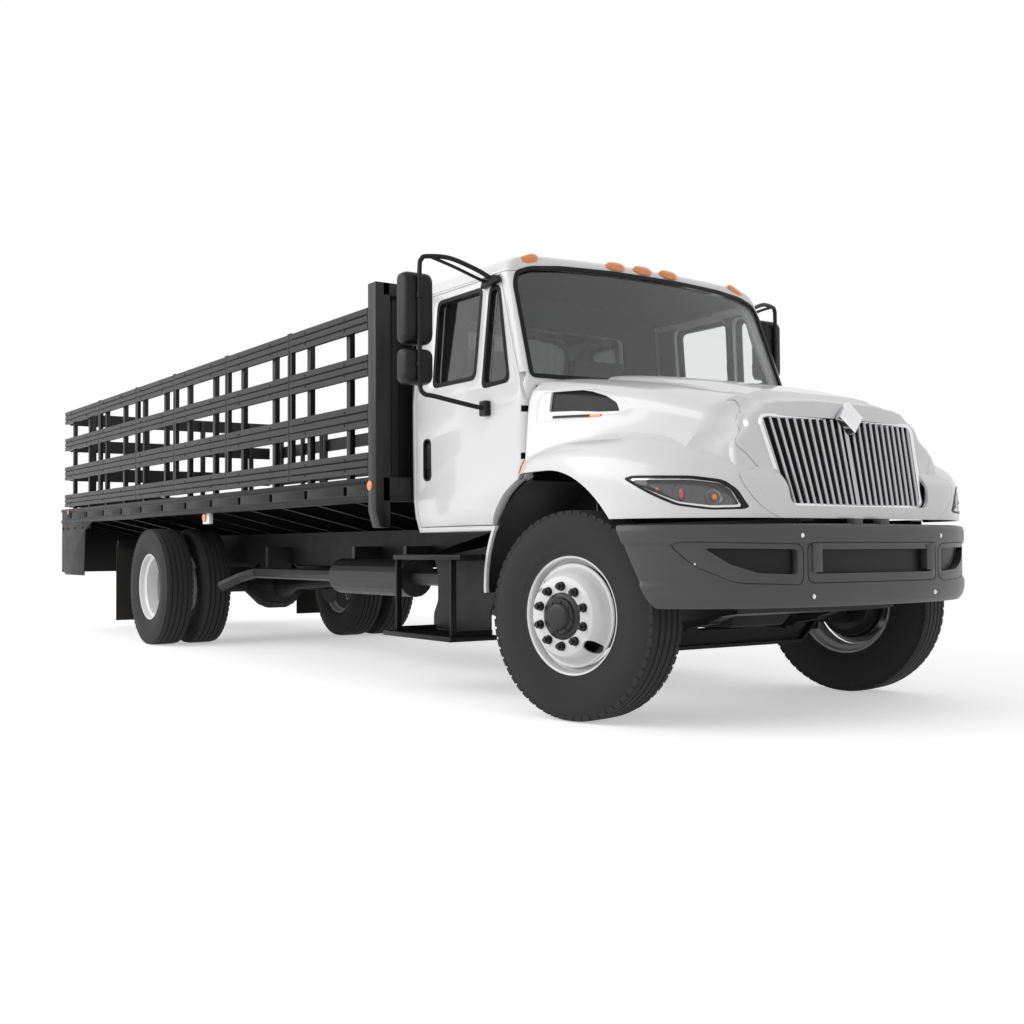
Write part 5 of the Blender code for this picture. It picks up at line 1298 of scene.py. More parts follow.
    def build_badge_place(self) -> None:
        """The bare diamond boss where the grille's top edge dips."""
        diamond = [(0.0, 1.374), (0.082, 1.455), (0.0, 1.536), (-0.082, 1.455)]
        lean = Matrix.Translation((0.835, 0.0, 1.455)) @ Matrix.Rotation(radians(-16), 4, "Y")
        rows = []
        for x, grow in ((-0.030, 0.0), (0.000, 0.0), (0.008, -0.006), (0.008, -0.016), (0.004, -0.020)):
            rows.append([lean @ Vector((x, y, z - 1.455)) for y, z in rounded(offset(diamond, grow), 0.006, 3)])
        piece("badge_frame", loft(rows), BRIGHT, "hood")

    def build_vents(self) -> None:
        """Black louvred inlets in the hood's sides, with the lamp strip below each."""
        opening = rounded([(-0.335, 1.536), (-0.156, 1.526), (0.020, 1.508), (0.140, 1.502), (0.108, 1.548),
                           (0.040, 1.586), (-0.060, 1.618), (-0.160, 1.638), (-0.260, 1.649),
                           (-0.332, 1.640)], 0.012)
        for name, side in SIDES:
            reach = span(side, 0.80, 1.02)
            panel = common(between(self.middle_form, 0.001, 0.012),
                           cut(prism(offset(self.vent_outline(), -0.001), Axis.Y, *reach),
                               prism(opening, Axis.Y, -1.2, 1.2)))
            piece(f"hood_vent_{name}_panel", panel, WHITE, "hood")
            layer = between(self.middle_form, 0.0125, 0.055)
            cup = common(layer, prism(offset(self.vent_outline(), -0.001), Axis.Y, *reach))
            hollow = common(self.middle_form(-0.01), prism(offset(self.vent_outline(), -0.014), Axis.Y, *reach))
            hollow = cut(hollow, self.middle_form(0.046))
            shell = cut(cup, hollow)
            slats = []
            for z in self.louvres:
                slat = rectangle((-0.43, z), (0.22, z + 0.006))
                band = common(between(self.middle_form, 0.013, 0.050), prism(slat, Axis.Y, *reach))
                slats.append(common(band, prism(offset(self.vent_outline(), -0.002), Axis.Y, *reach)))
            piece(f"hood_vent_{name}", shell, TRIM, "hood")
            piece(f"hood_vent_{name}_louvres", together(*slats), GREY, "hood")
            strip = [(-0.300, 1.500), (-0.040, 1.488), (-0.040, 1.500), (-0.300, 1.512)]
            lens = [(-0.040, 1.488), (0.030, 1.4845), (0.030, 1.4965), (-0.040, 1.500)]
            for part, outline, finish in (("strip", strip, TRIM), ("strip_lamp", lens, AMBER)):
                band = between(self.middle_form, -0.004, 0.006)
                piece(f"hood_{part}_{name}", common(band, prism(outline, Axis.Y, *reach)), finish, "hood")

    def build_lamps(self) -> None:
        """Headlamps: clear lens over a dark tray with two bright bowls and coloured reflectors."""
        for name, side in SIDES:
            reach = span(side, 0.60, 1.30)
            outline = rounded(self.lamp, 0.02)
            inner = rounded(offset(self.lamp, -0.010), 0.012)
            lens = common(between(self.fender_form, 0.003, 0.008),
                          prism(inner, Axis.Y, *reach))
            piece(f"headlamp_{name}_lens", lens, CLEAR, "hood", (f"headlamp_{name}",))
            tray = common(between(self.fender_form, 0.060, 0.066),
                          prism(offset(outline, 0.001), Axis.Y, *reach))
            edge = common(between(self.fender_form, -0.001, 0.066),
                          cut(prism(offset(outline, -0.001), Axis.Y, *reach),
                              prism(inner, Axis.Y, -1.4, 1.4)))
            piece(f"headlamp_{name}_tray", tray, TRAY, "hood")
            piece(f"headlamp_{name}_edge", edge, TRIM, "hood")
            small = [(0.690 + 0.950 * (x - 0.690), 1.080 + 0.860 * (z - 1.080)) for x, z in inner]
            rim = common(between(self.fender_form, 0.012, 0.030),
                         cut(prism(inner, Axis.Y, *reach), prism(small, Axis.Y, -1.4, 1.4)))
            piece(f"headlamp_{name}_rim", rim, BRIGHT, "hood")
            self.build_bowls(name, side)
            marker = sideways(rounded([(-0.455, 1.214), (-0.395, 1.228), (-0.372, 1.285), (-0.395, 1.290),
                                    (-0.450, 1.240)], 0.01), side, 0.90, 1.20)
            band = between(self.fender_form, -0.006, 0.004)
            piece(f"fender_marker_{name}", common(band, marker), AMBER, "hood")

    def build_bowls(self, name: str, side: int) -> None:
        """Two round reflectors and two coloured lenses of a headlamp."""
        bowls = []
        for x, y, z, radius, turn in ((0.786, 0.860, 1.060, 0.043, 40.0), (0.682, 0.958, 1.080, 0.043, 50.0)):
            profile = [(0.000, 0.0), (0.004, 0.3 * radius), (0.014, 0.6 * radius), (0.032, 0.85 * radius),
                       (0.052, radius), (0.056, radius), (0.036, 0.80 * radius), (0.008, 0.0)]
            bowl = turned([(w - 0.056, r) for w, r in profile], (0.0, 0.0, 0.0), 40)
            facing_turn = Matrix.Rotation(side * radians(turn - 90), 4, "Z")
            bowl.transform(Matrix.Translation((x, side * y, z)) @ facing_turn
                           @ Matrix.Rotation(0 if side > 0 else pi, 4, "Z"))
            bowls.append(bowl)
        piece(f"headlamp_{name}_bowls", together(*bowls), BRIGHT, "hood")
        for part, (x, y, z), size, finish in (("turn", (0.790, 0.862, 1.058), (0.014, 0.014, 0.015), AMBER),
                                              ("side", (0.684, 0.962, 1.074), (0.018, 0.014, 0.030), RED),
                                              ("mark", (0.600, 1.028, 1.098), (0.010, 0.008, 0.008), AMBER)):
            bm = bmesh.new()
            bmesh.ops.create_uvsphere(bm, u_segments=24, v_segments=14, radius=1.0)
            mesh = to_mesh(bm)
            mesh.transform(Matrix.Translation((x, side * y, z)) @ Matrix.Diagonal((*size, 1.0)))
            piece(f"headlamp_{name}_{part}", mesh, finish, "hood")

    def build(self) -> None:
        """Build every piece of the hood."""
        self.build_skin()
        self.build_grille()
        self.build_vents()
        self.build_lamps()


# Bumper

@dataclass
class Bumper:
    """Swept front bumper with its intake, lamp recesses and bolts."""

    half: float = 1.190
    front: float = 1.000
    back: float = 0.250
    sweep: float = 0.93
    steps: int = 28
    face_reach: Flat = (0.5, 1.2)
    wall: float = 0.030
    rows: tuple[Flat, ...] = (
        # inset from the front line, Z
        (0.034, 0.940), (0.008, 0.934), (0.001, 0.918), (0.000, 0.905), (0.000, 0.862), (0.003, 0.852),
        (0.010, 0.842), (0.010, 0.832), (0.010, 0.690), (0.010, 0.680), (0.003, 0.668), (0.000, 0.658),
        (0.001, 0.620), (0.009, 0.588), (0.022, 0.568), (0.030, 0.560),
    )
    end: tuple[Flat, ...] = ((0.0, 0.5), (0.640, 0.5), (0.430, 1.0), (0.0, 1.0))
    intake: tuple[Flat, ...] = rectangle((-0.422, 0.712), (0.422, 0.822))
    middle: tuple[Flat, ...] = rectangle((-0.455, 0.668), (0.455, 0.856))
    lens: tuple[Flat, ...] = ((0.508, 0.710), (0.700, 0.718), (0.820, 0.758), (0.918, 0.830), (0.508, 0.824))
    recess: tuple[Flat, ...] = ((0.475, 0.660), (0.800, 0.672), (0.960, 0.750), (1.045, 0.862), (0.475, 0.850))

    def plan(self, t: float, inset: float) -> Flat:
        """The bumper seen from above, t from 0 at the middle to 1 at its end."""
        a = t * pi / 2 * self.sweep
        y = (self.half - inset) * sin(a) ** (2 / 2.6)
        x = self.back + (self.front - self.back - inset) * cos(a) ** (2 / 2.2)
        return x, y

    def form(self, inset: float, wall: float) -> Mesh:
        """A layer of the bumper."""
        sections = []
        for k in range(-self.steps, self.steps + 1):
            side = 1 if k >= 0 else -1
            t = abs(k) / self.steps
            front = [(self.plan(t, d + inset), z) for d, z in self.rows]
            back = [(self.plan(t, d + inset + wall), z) for d, z in reversed(self.rows)]
            sections.append([(x, side * y, z) for (x, y), z in front + back])
        return loft(sections)

    def face(self, y: float, z: float) -> Point:
        """The point of the bumper's face in front of a distance from the middle."""
        inset = min(self.rows, key=lambda row: abs(row[1] - z))[0]
        best = min((abs(self.plan(k / 200, inset)[1] - abs(y)), k) for k in range(201))[1]
        return self.plan(best / 200, inset)[0], y, z

    def build(self) -> None:
        """Build the bumper, its dark insets and its bolts."""
        cutters = [prism(self.end, Axis.Y, -1.3, 1.3),
                   prism(rounded(self.intake, 0.035), Axis.X, *self.face_reach)]
        grooves = cut(self.form(-0.01, 0.015), self.form(0.0055, 0.1))
        lines = []
        for _, side in SIDES:
            cutters.append(facing(rounded(self.lens, 0.02), side, *self.face_reach))
            recess = rounded(self.recess, 0.05)
            inner = rounded(offset(self.recess, -0.005), 0.045)
            lines.append(cut(facing(recess, side, 0.3, 1.2),
                             facing(inner, side, 0.2, 1.3)))
        lines.append(cut(prism(rounded(self.middle, 0.04), Axis.X, 0.3, 1.2),
                         prism(rounded(offset(self.middle, -0.005), 0.036), Axis.X, 0.2, 1.3)))
        grooved = [common(grooves, line) for line in lines]
        shell = cut(self.form(0.0, self.wall), *cutters, *grooved)
        solids = []
        for _, side in SIDES:
            y = side * 0.402
            solids.append(box((0.9005, y - 0.030, 0.720), (0.975, y + 0.030, 0.850)))
            solids.append(box((0.905, side * 0.095 - 0.030, 0.905), (0.950, side * 0.095 + 0.030, 0.9655)))
        solids.append(box((0.890, -0.420, 0.890), (0.975, 0.420, 0.908)))
        piece("bumper_shell", softened(together(shell, *solids), FINE_EDGE), GREY, "chassis", ("front_bumper",))
        backs = []
        layer = cut(self.form(0.034, 0.008), prism(self.end, Axis.Y, -1.3, 1.3))
        backs.append(common(layer, prism(offset(self.intake, 0.01), Axis.X, *self.face_reach)))
        for _, side in SIDES:
            backs.append(common(layer, facing(offset(self.lens, 0.01), side, *self.face_reach)))
        piece("bumper_insets", together(*backs), TRIM, "chassis")
        heads = []
        for _, side in SIDES:
            for y, z in ((0.490, 0.886), (0.430, 0.610)):
                x, y_at, z_at = self.face(side * y, z)
                heads.append(shifted(bolt(Axis.X, 0.008, 0.006), x - 0.001, y_at, z_at))
            x, y_at, z_at = self.face(side * 0.95, 0.760)
            heads.append(shifted(disc(Axis.X, (0.0, 0.0), 0.005, -0.01, 0.002, 12), x, y_at, z_at))
        piece("bumper_bolts", together(*heads), BRIGHT, "chassis")


# Wheels

def beside(centre: Point, across: float) -> Point:
    """A point moved along Y."""
    return centre[0], centre[1] + across, centre[2]


@dataclass
class Wheels:
    """Disc wheels with hubs and nuts, and tyres with cut treads."""

    front: Point = (0.0, 1.012, 0.509)
    rear: Point = (-5.994, 0.919, 0.509)
    twin: float = 0.168
    kingpin: float = 0.860
    steer: float = 12.0
    blocks: int = 60
    nut_circle: float = 0.1428
    hole_circle: float = 0.2120
    hole_radius: float = 0.0330
    first_hole: float = 138.0
    bolt_flat: float = 0.1660

    def turned_front(self, side: int) -> Matrix:
        """The front wheel's turn about its kingpin, as the truck stands."""
        pin = Matrix.Translation((0.0, side * self.kingpin, 0.0))
        return pin @ Matrix.Rotation(radians(self.steer), 4, "Z") @ pin.inverted()

    def tyre(self, centre: Point, across: float, side: int) -> Mesh:
        """A tyre with ribs, shoulder blocks and sidewall rings."""
        half = [(0.1040, 0.2875), (0.1050, 0.296), (0.1060, 0.3040), (0.1120, 0.318), (0.1145, 0.324),
                (0.1150, 0.330),
                (0.1190, 0.348), (0.1195, 0.351), (0.1225, 0.365), (0.1255, 0.385), (0.1268, 0.402),
                (0.1262, 0.420),
                (0.1240, 0.440), (0.1236, 0.444), (0.1200, 0.462), (0.1150, 0.480), (0.1135, 0.484),
                (0.1125, 0.490)]
        tread = [(0.1085, 0.4990), (0.1010, 0.5050), (0.0900, 0.5078), (0.0730, 0.5085), (0.0700, 0.4960),
                 (0.0640, 0.4960), (0.0610, 0.5088), (0.0290, 0.5090), (0.0260, 0.4960), (0.0200, 0.4960),
                 (0.0170, 0.5090)]
        outline = half + tread
        profile = [(across + w, r) for w, r in outline] + [(across - w, r) for w, r in reversed(outline)]
        profile += [(across - 0.100, 0.290), (across - 0.096, 0.320), (across, 0.480), (across + 0.096, 0.320),
                    (across + 0.100, 0.290)]
        parts = [turned(profile, centre, 120, side)]
        for edge in (-1, 1):
            block = prism([(0.4820, -0.0205), (0.5030, -0.0195), (0.5030, 0.0195), (0.4820, 0.0205)], Axis.Y,
                          -0.0065, 0.0065)
            ring = Repeat(block, TYRE).ring(self.blocks, beside(centre, side * (across + edge * 0.1085)))
            parts.append(ring)
        return together(*parts)

    def rim_mesh(self, centre: Point, shift: float, out: int) -> Mesh:
        """The rim alone, with a bright lip."""
        profile = [(0.1048, 0.2960), (0.1050, 0.3010), (0.1030, 0.3045), (0.0990, 0.3045), (0.0962, 0.2985),
                   (0.0945, 0.2870), (0.0560, 0.2790), (0.0440, 0.2580), (-0.0440, 0.2580), (-0.0560, 0.2790),
                   (-0.0945, 0.2870), (-0.0962, 0.2985), (-0.0990, 0.3045), (-0.1030, 0.3045),
                   (-0.1050, 0.3010),
                   (-0.1048, 0.2960), (-0.0990, 0.2780), (-0.0600, 0.2700), (-0.0480, 0.2470), (0.0480, 0.2470),
                   (0.0600, 0.2700), (0.0990, 0.2780)]
        return turned([(shift + w, r) for w, r in profile], centre, 96, out)

    def disc_mesh(self, centre: Point, at: float, bowl: float, side: int) -> Mesh:
        """The pressed disc: flat in its bolt circle, coned towards the rim, with hand holes."""
        profile = [(at, 0.1130), (at, 0.1850), (at - 0.004, 0.1920), (at - 0.55 * bowl, 0.2200),
                   (at - bowl, 0.2360),
                   (at - bowl, 0.2500), (at - bowl - 0.012, 0.2500), (at - bowl - 0.012, 0.2340),
                   (at - 0.55 * bowl - 0.012, 0.2160), (at - 0.014, 0.1880), (at - 0.012, 0.1130)]
        plate = turned(profile, centre, 96, side)
        holes = []
        for k in range(2):
            a = radians(self.first_hole + 180 * k)
            spot = (centre[0] + self.hole_circle * cos(a), centre[2] + self.hole_circle * sin(a))
            holes.append(disc(Axis.Y, spot, self.hole_radius, centre[1] - 0.3, centre[1] + 0.3, 24))
        return cut(plate, *holes)

    def nuts(self, centre: Point, at: float, side: int) -> Mesh:
        """Ten wheel nuts on studs."""
        nut = together(disc(Axis.Y, (self.nut_circle, 0.0), 0.0225, *span(side, 0.0, 0.005), 16),
                       disc(Axis.Y, (self.nut_circle, 0.0), 0.0200, *span(side, 0.0, 0.025), 6),
                       disc(Axis.Y, (self.nut_circle, 0.0), 0.0110, *span(side, 0.0, 0.038), 10))
        return Repeat(nut, HUB).ring(10, beside(centre, side * at), 18.0)

    def front_pair(self) -> None:
        """Both front wheels, turned as they stand in the photo."""
        for name, side in SIDES:
            centre = (0.0, side * self.front[1], self.front[2])
            turn = self.turned_front(side)
            body = f"front_wheel_{name}"
            piece(f"front_tyre_{name}_tread", moved(self.tyre(centre, 0.0, side), turn), TYRE, body,
                  (f"front_tyre_{name}",))
            rim = together(self.rim_mesh(centre, 0.0, side),
                           self.disc_mesh(centre, self.bolt_flat, 0.081, side))
            piece(f"front_rim_{name}", moved(rim, turn), WHEEL, body, (f"front_wheel_{name}",))
            hub = [(0.1200, 0.0), (0.1200, 0.1120), (0.1700, 0.1120), (0.1740, 0.1060), (0.1760, 0.0900),
                   (0.1850, 0.0860), (0.1890, 0.0800), (0.1890, 0.0660), (0.1980, 0.0620), (0.2030, 0.0560),
                   (0.2060, 0.0450), (0.2060, 0.0)]
            face = turned(hub, centre, 48, side)
            back = turned([(-0.100, 0.060), (-0.100, 0.150), (-0.020, 0.205), (0.060, 0.205), (0.066, 0.150),
                           (0.066, 0.060)], centre, 48, side)
            small = disc(Axis.Y, (0.0530, 0.0), 0.0060, *span(side, 0.0, 0.007), 6)
            caps = Repeat(small, HUB).ring(6, beside(centre, side * 0.197))
            ring = disc(Axis.Y, (0.0720, 0.0), 0.0055, *span(side, 0.0, 0.006), 6)
            flange = Repeat(ring, HUB).ring(8, beside(centre, side * 0.1885), 10.0)
            hubs = together(face, back, self.nuts(centre, self.bolt_flat, side), caps, flange)
            piece(f"front_hub_{name}", moved(hubs, turn), HUB, body)

    def rear_pair(self) -> None:
        """Both sets of rear twin wheels."""
        for name, side in SIDES:
            centre = (self.rear[0], side * self.rear[1], self.rear[2])
            body = f"rear_wheels_{name}"
            for place, across in (("outer", self.twin), ("inner", -self.twin)):
                piece(f"rear_tyre_{place}_{name}_tread", self.tyre(centre, across, side), TYRE, body,
                      (f"rear_tyre_{place}_{name}",))
            rims = together(self.rim_mesh(centre, self.twin, side), self.rim_mesh(centre, -self.twin, side),
                            self.disc_mesh(centre, 0.0180, -0.060, side),
                            self.disc_mesh(centre, 0.0030, 0.060, side))
            piece(f"rear_rims_{name}", rims, WHEEL, body, (f"rear_wheel_{name}",))
            hub = [(-0.150, 0.0), (-0.150, 0.150), (-0.060, 0.205), (-0.012, 0.205), (-0.006, 0.112),
                   (0.024, 0.112),
                   (0.030, 0.100), (0.090, 0.092), (0.096, 0.110), (0.110, 0.110), (0.116, 0.085),
                   (0.140, 0.060), (0.148, 0.040), (0.150, 0.0)]
            small = disc(Axis.Y, (0.0980, 0.0), 0.0075, *span(side, 0.0, 0.009), 6)
            flange = Repeat(small, HUB).ring(8, beside(centre, side * 0.110), 10.0)
            hubs = together(turned(hub, centre, 48, side), self.nuts(centre, 0.0180, side), flange)
            piece(f"rear_hub_{name}", hubs, HUB, body)

    def build(self) -> None:
        """Build all wheels."""
        self.front_pair()
        self.rear_pair()


# Load bed

@dataclass
class Bed:
    """Load bed, bulkhead and stake racks."""

    front: float = -1.8203
    rear: float = -8.850
    half: float = 1.219
    top: float = 1.265
    rail_low: float = 1.119
    rail_w: float = 0.090
    stake_y: float = 1.165
    first: float = -2.150
    pitch: float = 0.5775
    stakes: int = 12
    seams: tuple[float, ...] = (-2.985, -4.138, -5.307, -6.326, -7.491)
    slats: tuple[Flat, ...] = ((1.289, 1.418), (1.573, 1.713), (1.885, 2.014), (2.169, 2.298))
    floor_half: float = 1.130
    planks: int = 14
    rear_rack_half: float = 1.142
    rear_stakes: tuple[float, ...] = (-0.900, -0.320, 0.320, 0.900)
    skirt_bolts: tuple[float, ...] = (-7.780, -8.060, -8.340, -8.620, -8.800)
    head: Flat = (-1.820, -1.720)
    head_top: float = 2.437

    def build_deck(self) -> None:
        """Floor planks, channel side rails with pockets, sills, skirts and the rear apron."""
        floor = [(-self.floor_half, 1.236)]
        width = 2 * self.floor_half / self.planks
        for k in range(self.planks):
            low = -self.floor_half + k * width
            floor += [(low + 0.002, self.top), (low + width - 0.002, self.top), (low + width, self.top - 0.004)]
        floor[-1] = (self.floor_half, self.top - 0.004)
        floor.append((self.floor_half, 1.236))
        planks = prism(floor, Axis.X, self.rear, self.front)
        reach = 0.026
        rails = []
        for _, side in SIDES:
            out, web, lip = side * self.half, side * (self.half - 0.012), side * (self.half - self.rail_w)
            section = [(out, self.rail_low), (out, self.rail_low + 0.028), (web, self.rail_low + 0.034),
                       (web, self.top - 0.034), (out, self.top - 0.028), (out, self.top), (lip, self.top),
                       (lip, self.rail_low)]
            rail = prism(section, Axis.X, self.rear, self.front)
            pockets = [box((x - reach, side * self.stake_y - 0.020, self.rail_low + 0.020),
                           (x + reach, side * self.stake_y + 0.020, self.top + 0.1)) for x in self.places()]
            windows = [sideways(rounded(rectangle((x - 0.022, self.rail_low + 0.046),
                                                  (x + 0.022, self.top - 0.046)),
                                        0.008, 3), side, 1.183, 1.25) for x in self.places()]
            rails.append(cut(rail, *pockets, *windows))
        sill_form = [(-1.160, 1.237), (-1.160, 1.129), (-0.452, 0.9623), (0.452, 0.9623), (1.160, 1.129),
                     (1.160, 1.237)]
        sill = together(prism(sill_form, Axis.X, -0.004, 0.004),
                        prism([(-1.155, 1.129), (-0.452, 0.9626), (0.452, 0.9626), (1.155, 1.129),
                               (1.155, 1.135),
                               (0.452, 0.9690), (-0.452, 0.9690), (-1.155, 1.135)], Axis.X, -0.025, 0.025))
        sills = Repeat(sill, BLACK).row(self.stakes, (self.first, 0.0, 0.0), (-self.pitch, 0.0, 0.0))
        skirts = []
        plate = [(-7.680, 1.150), (-7.680, 1.131), (-7.964, 1.036), (-8.000, 0.575), (-8.700, 0.575),
                 (-8.848, 0.640), (-8.848, 1.150)]
        for _, side in SIDES:
            skirts.append(softened(sideways(plate, side, 1.200, 1.210), FINE_EDGE))
        apron = softened(box((self.rear, -1.209, 0.600), (self.rear + 0.012, 1.209, 1.255)), FINE_EDGE)
        rail_mesh = [softened(rail, FINE_EDGE) for rail in rails]
        piece("bed_frame", together(*rail_mesh, sills, *skirts, apron), BLACK, "chassis", ("deck",))
        piece("bed_floor", planks, RACK, "chassis")
        piece("bed_bolts", together(*self.apron_bolts()), CAST, "chassis")

    def places(self) -> list[float]:
        """X of each stake."""
        return [self.first - self.pitch * k for k in range(self.stakes)]

    def apron_bolts(self) -> list[Mesh]:
        """Bolts along the skirts' upper edge."""
        return [shifted(bolt(Axis.Y, 0.011, 0.007, side), x, side * 1.210, 1.060)
                for _, side in SIDES for x in self.skirt_bolts]

    def slat(self, low: float, high: float, side: int, start: float, end: float, face: float = 1.212) -> Mesh:
        """One pressed slat with three raised ribs on its outer side."""
        back = face - 0.030
        rib = (high - low) / 3.4
        gap = 0.2 * rib
        front = []
        for k in range(3):
            z = low + k * (rib + gap)
            front += [(face - 0.004, z), (face, z + 0.005), (face, z + rib - 0.005), (face - 0.004, z + rib)]
            if k < 2:
                front.append((face - 0.010, z + rib + gap / 2))
        outline = [(side * y, z) for y, z in [(back, high), (back, low)] + front]
        return prism(outline, Axis.X, start, end)

    def build_racks(self) -> None:
        """Side racks in six sections each, and the rear rack."""
        rear_end, front_end = self.rear + 0.110, self.front - 0.012
        edges = [front_end, *self.seams, rear_end]
        for name, side in SIDES:
            solids = []
            plates = []
            for fore, aft in zip(edges, edges[1:]):
                for low, high in self.slats:
                    solids.append(self.slat(low, high, side, aft + 0.004, fore - 0.004))
            for x in self.places():
                stake = side_box(side, (x - 0.025, x + 0.025), (self.stake_y - 0.019, self.stake_y + 0.019),
                                 (1.140, 2.288))
                solids.append(softened(stake, EDGE))
                for z_low, z_high in self.slats:
                    for z in (z_low + 0.030, z_high - 0.030):
                        rivet = disc(Axis.Y, (0.0, 0.0), 0.0075, *span(side, 0.0, 0.003), 12)
                        plates.append(shifted(rivet, x, side * 1.212, z))
            for x in self.seams:
                for z in (self.slats[3][1], self.slats[0][1]):
                    plates.append(side_box(side, (x - 0.030, x + 0.030), (1.184, 1.210),
                                           (z + 0.0005, z + 0.0055)))
                for fore in (-1, 1):
                    solids.append(side_box(side, (x + fore * 0.020 - 0.014, x + fore * 0.020 + 0.014),
                                           (1.176, 1.206), (self.slats[0][0], self.slats[3][1] - 0.003)))
            piece(f"rack_{name}_slats", together(*solids), RACK, "chassis", (f"rack_{name}",))
            piece(f"rack_{name}_rivets", together(*plates), CAST, "chassis")
        self.build_rear_rack()

    def build_rear_rack(self) -> None:
        """Rear rack of four slats on four stakes."""
        x = self.rear + 0.045
        solids = []
        for low, high in self.slats:
            turned_slat = self.slat(low, high, 1, -self.rear_rack_half, self.rear_rack_half, face=0.015)
            solids.append(swung(turned_slat, x, 0.0, 0.0))
        for y in self.rear_stakes:
            solids.append(softened(box((x + 0.013, y - 0.025, 1.266), (x + 0.053, y + 0.025, 2.288)), EDGE))
        piece("rack_rear_slats", together(*solids), RACK, "chassis", ("rack_rear",))

    def build_bulkhead(self) -> None:
        """Headboard with posts, top tube, sheet and ribs."""
        rear, front = self.head
        depth = front - rear
        solids = []
        for _, side in SIDES:
            post_in, post_out = side * (self.half - 0.100), side * self.half
            outline = [(post_in, 0.960), (side * (self.half - 0.030), 0.960), (post_out, 1.060),
                       (post_out, self.head_top), (post_in, self.head_top)]
            solids.append(softened(prism(outline, Axis.X, rear, front), 0.006))
        tube_low = self.head_top - 0.080
        solids.append(softened(box((rear, -1.169, tube_low), (front, 1.169, self.head_top)), 0.006))
        solids.append(softened(box((rear, -1.169, self.rail_low), (front, 1.169, self.top)), EDGE))
        sheet = [(-1.130, rear + 0.030)]
        for k in range(15):
            y = -1.050 + k * 0.150
            sheet += [(y - 0.030, rear + 0.030), (y - 0.022, rear + 0.036), (y + 0.022, rear + 0.036),
                      (y + 0.030, rear + 0.030)]
        sheet.append((1.130, rear + 0.030))
        outline = sheet + [(y, x + 0.004) for y, x in reversed(sheet)]
        solids.append(prism([(x, y) for y, x in outline], Axis.Z, self.top - 0.010, self.head_top - 0.05))
        for y in (-0.560, 0.0, 0.560):
            rib = box((rear + 0.3 * depth, y - 0.03, self.top - 0.01), (rear + 0.8 * depth, y + 0.03, 2.387))
            solids.append(softened(rib, EDGE))
        piece("bulkhead_frame", together(*solids), RACK, "chassis", ("bulkhead",))

    def build_lamps(self) -> None:
        """Side marker lamps along both rails and the lamps at the rear."""
        for name, side in SIDES:
            ambers = [self.lamp(-1.789, 1.213, side, 1.2185, 0.030, 0.030),
                      self.lamp(-4.640, 1.086, side, 1.190, 0.034, 0.034)]
            piece(f"bed_side_lamps_{name}", together(*ambers), AMBER, "chassis")
            piece(f"bed_rear_marker_{name}", self.lamp(-8.545, 1.229, side, 1.2185, 0.030, 0.024), RED,
                  "chassis")
            bracket = softened(side_box(side, (-4.690, -4.550), (1.155, 1.188), (1.035, 1.132)), EDGE)
            piece(f"bed_lamp_bracket_{name}", bracket, WHEEL, "chassis")
            reds = [disc(Axis.X, (side * y, 1.000), 0.055, self.rear + 0.001, self.rear + 0.011, 32)
                    for y in (0.900, 1.060)]
            piece(f"tail_lamps_{name}", together(*reds), RED, "chassis")

    def lamp(self, x: float, z: float, side: int, y: float, wide: float, tall: float) -> Mesh:
        """A small oval lamp on the bed's side."""
        rows = []
        for depth, share in ((0.0, 1.0), (0.007, 1.0), (0.010, 0.9), (0.0115, 0.7)):
            outline = [(wide * cos(a), tall * sin(a)) for a in (2 * pi * k / 20 for k in range(20))]
            rows.append([(x + a * share, side * (y + depth), z + b * share) for a, b in outline])
        return loft(rows)

    def build(self) -> None:
        """Build every piece of the load bed."""
        self.build_deck()
        self.build_bulkhead()
        self.build_racks()
        self.build_lamps()


# Chassis sides and interior

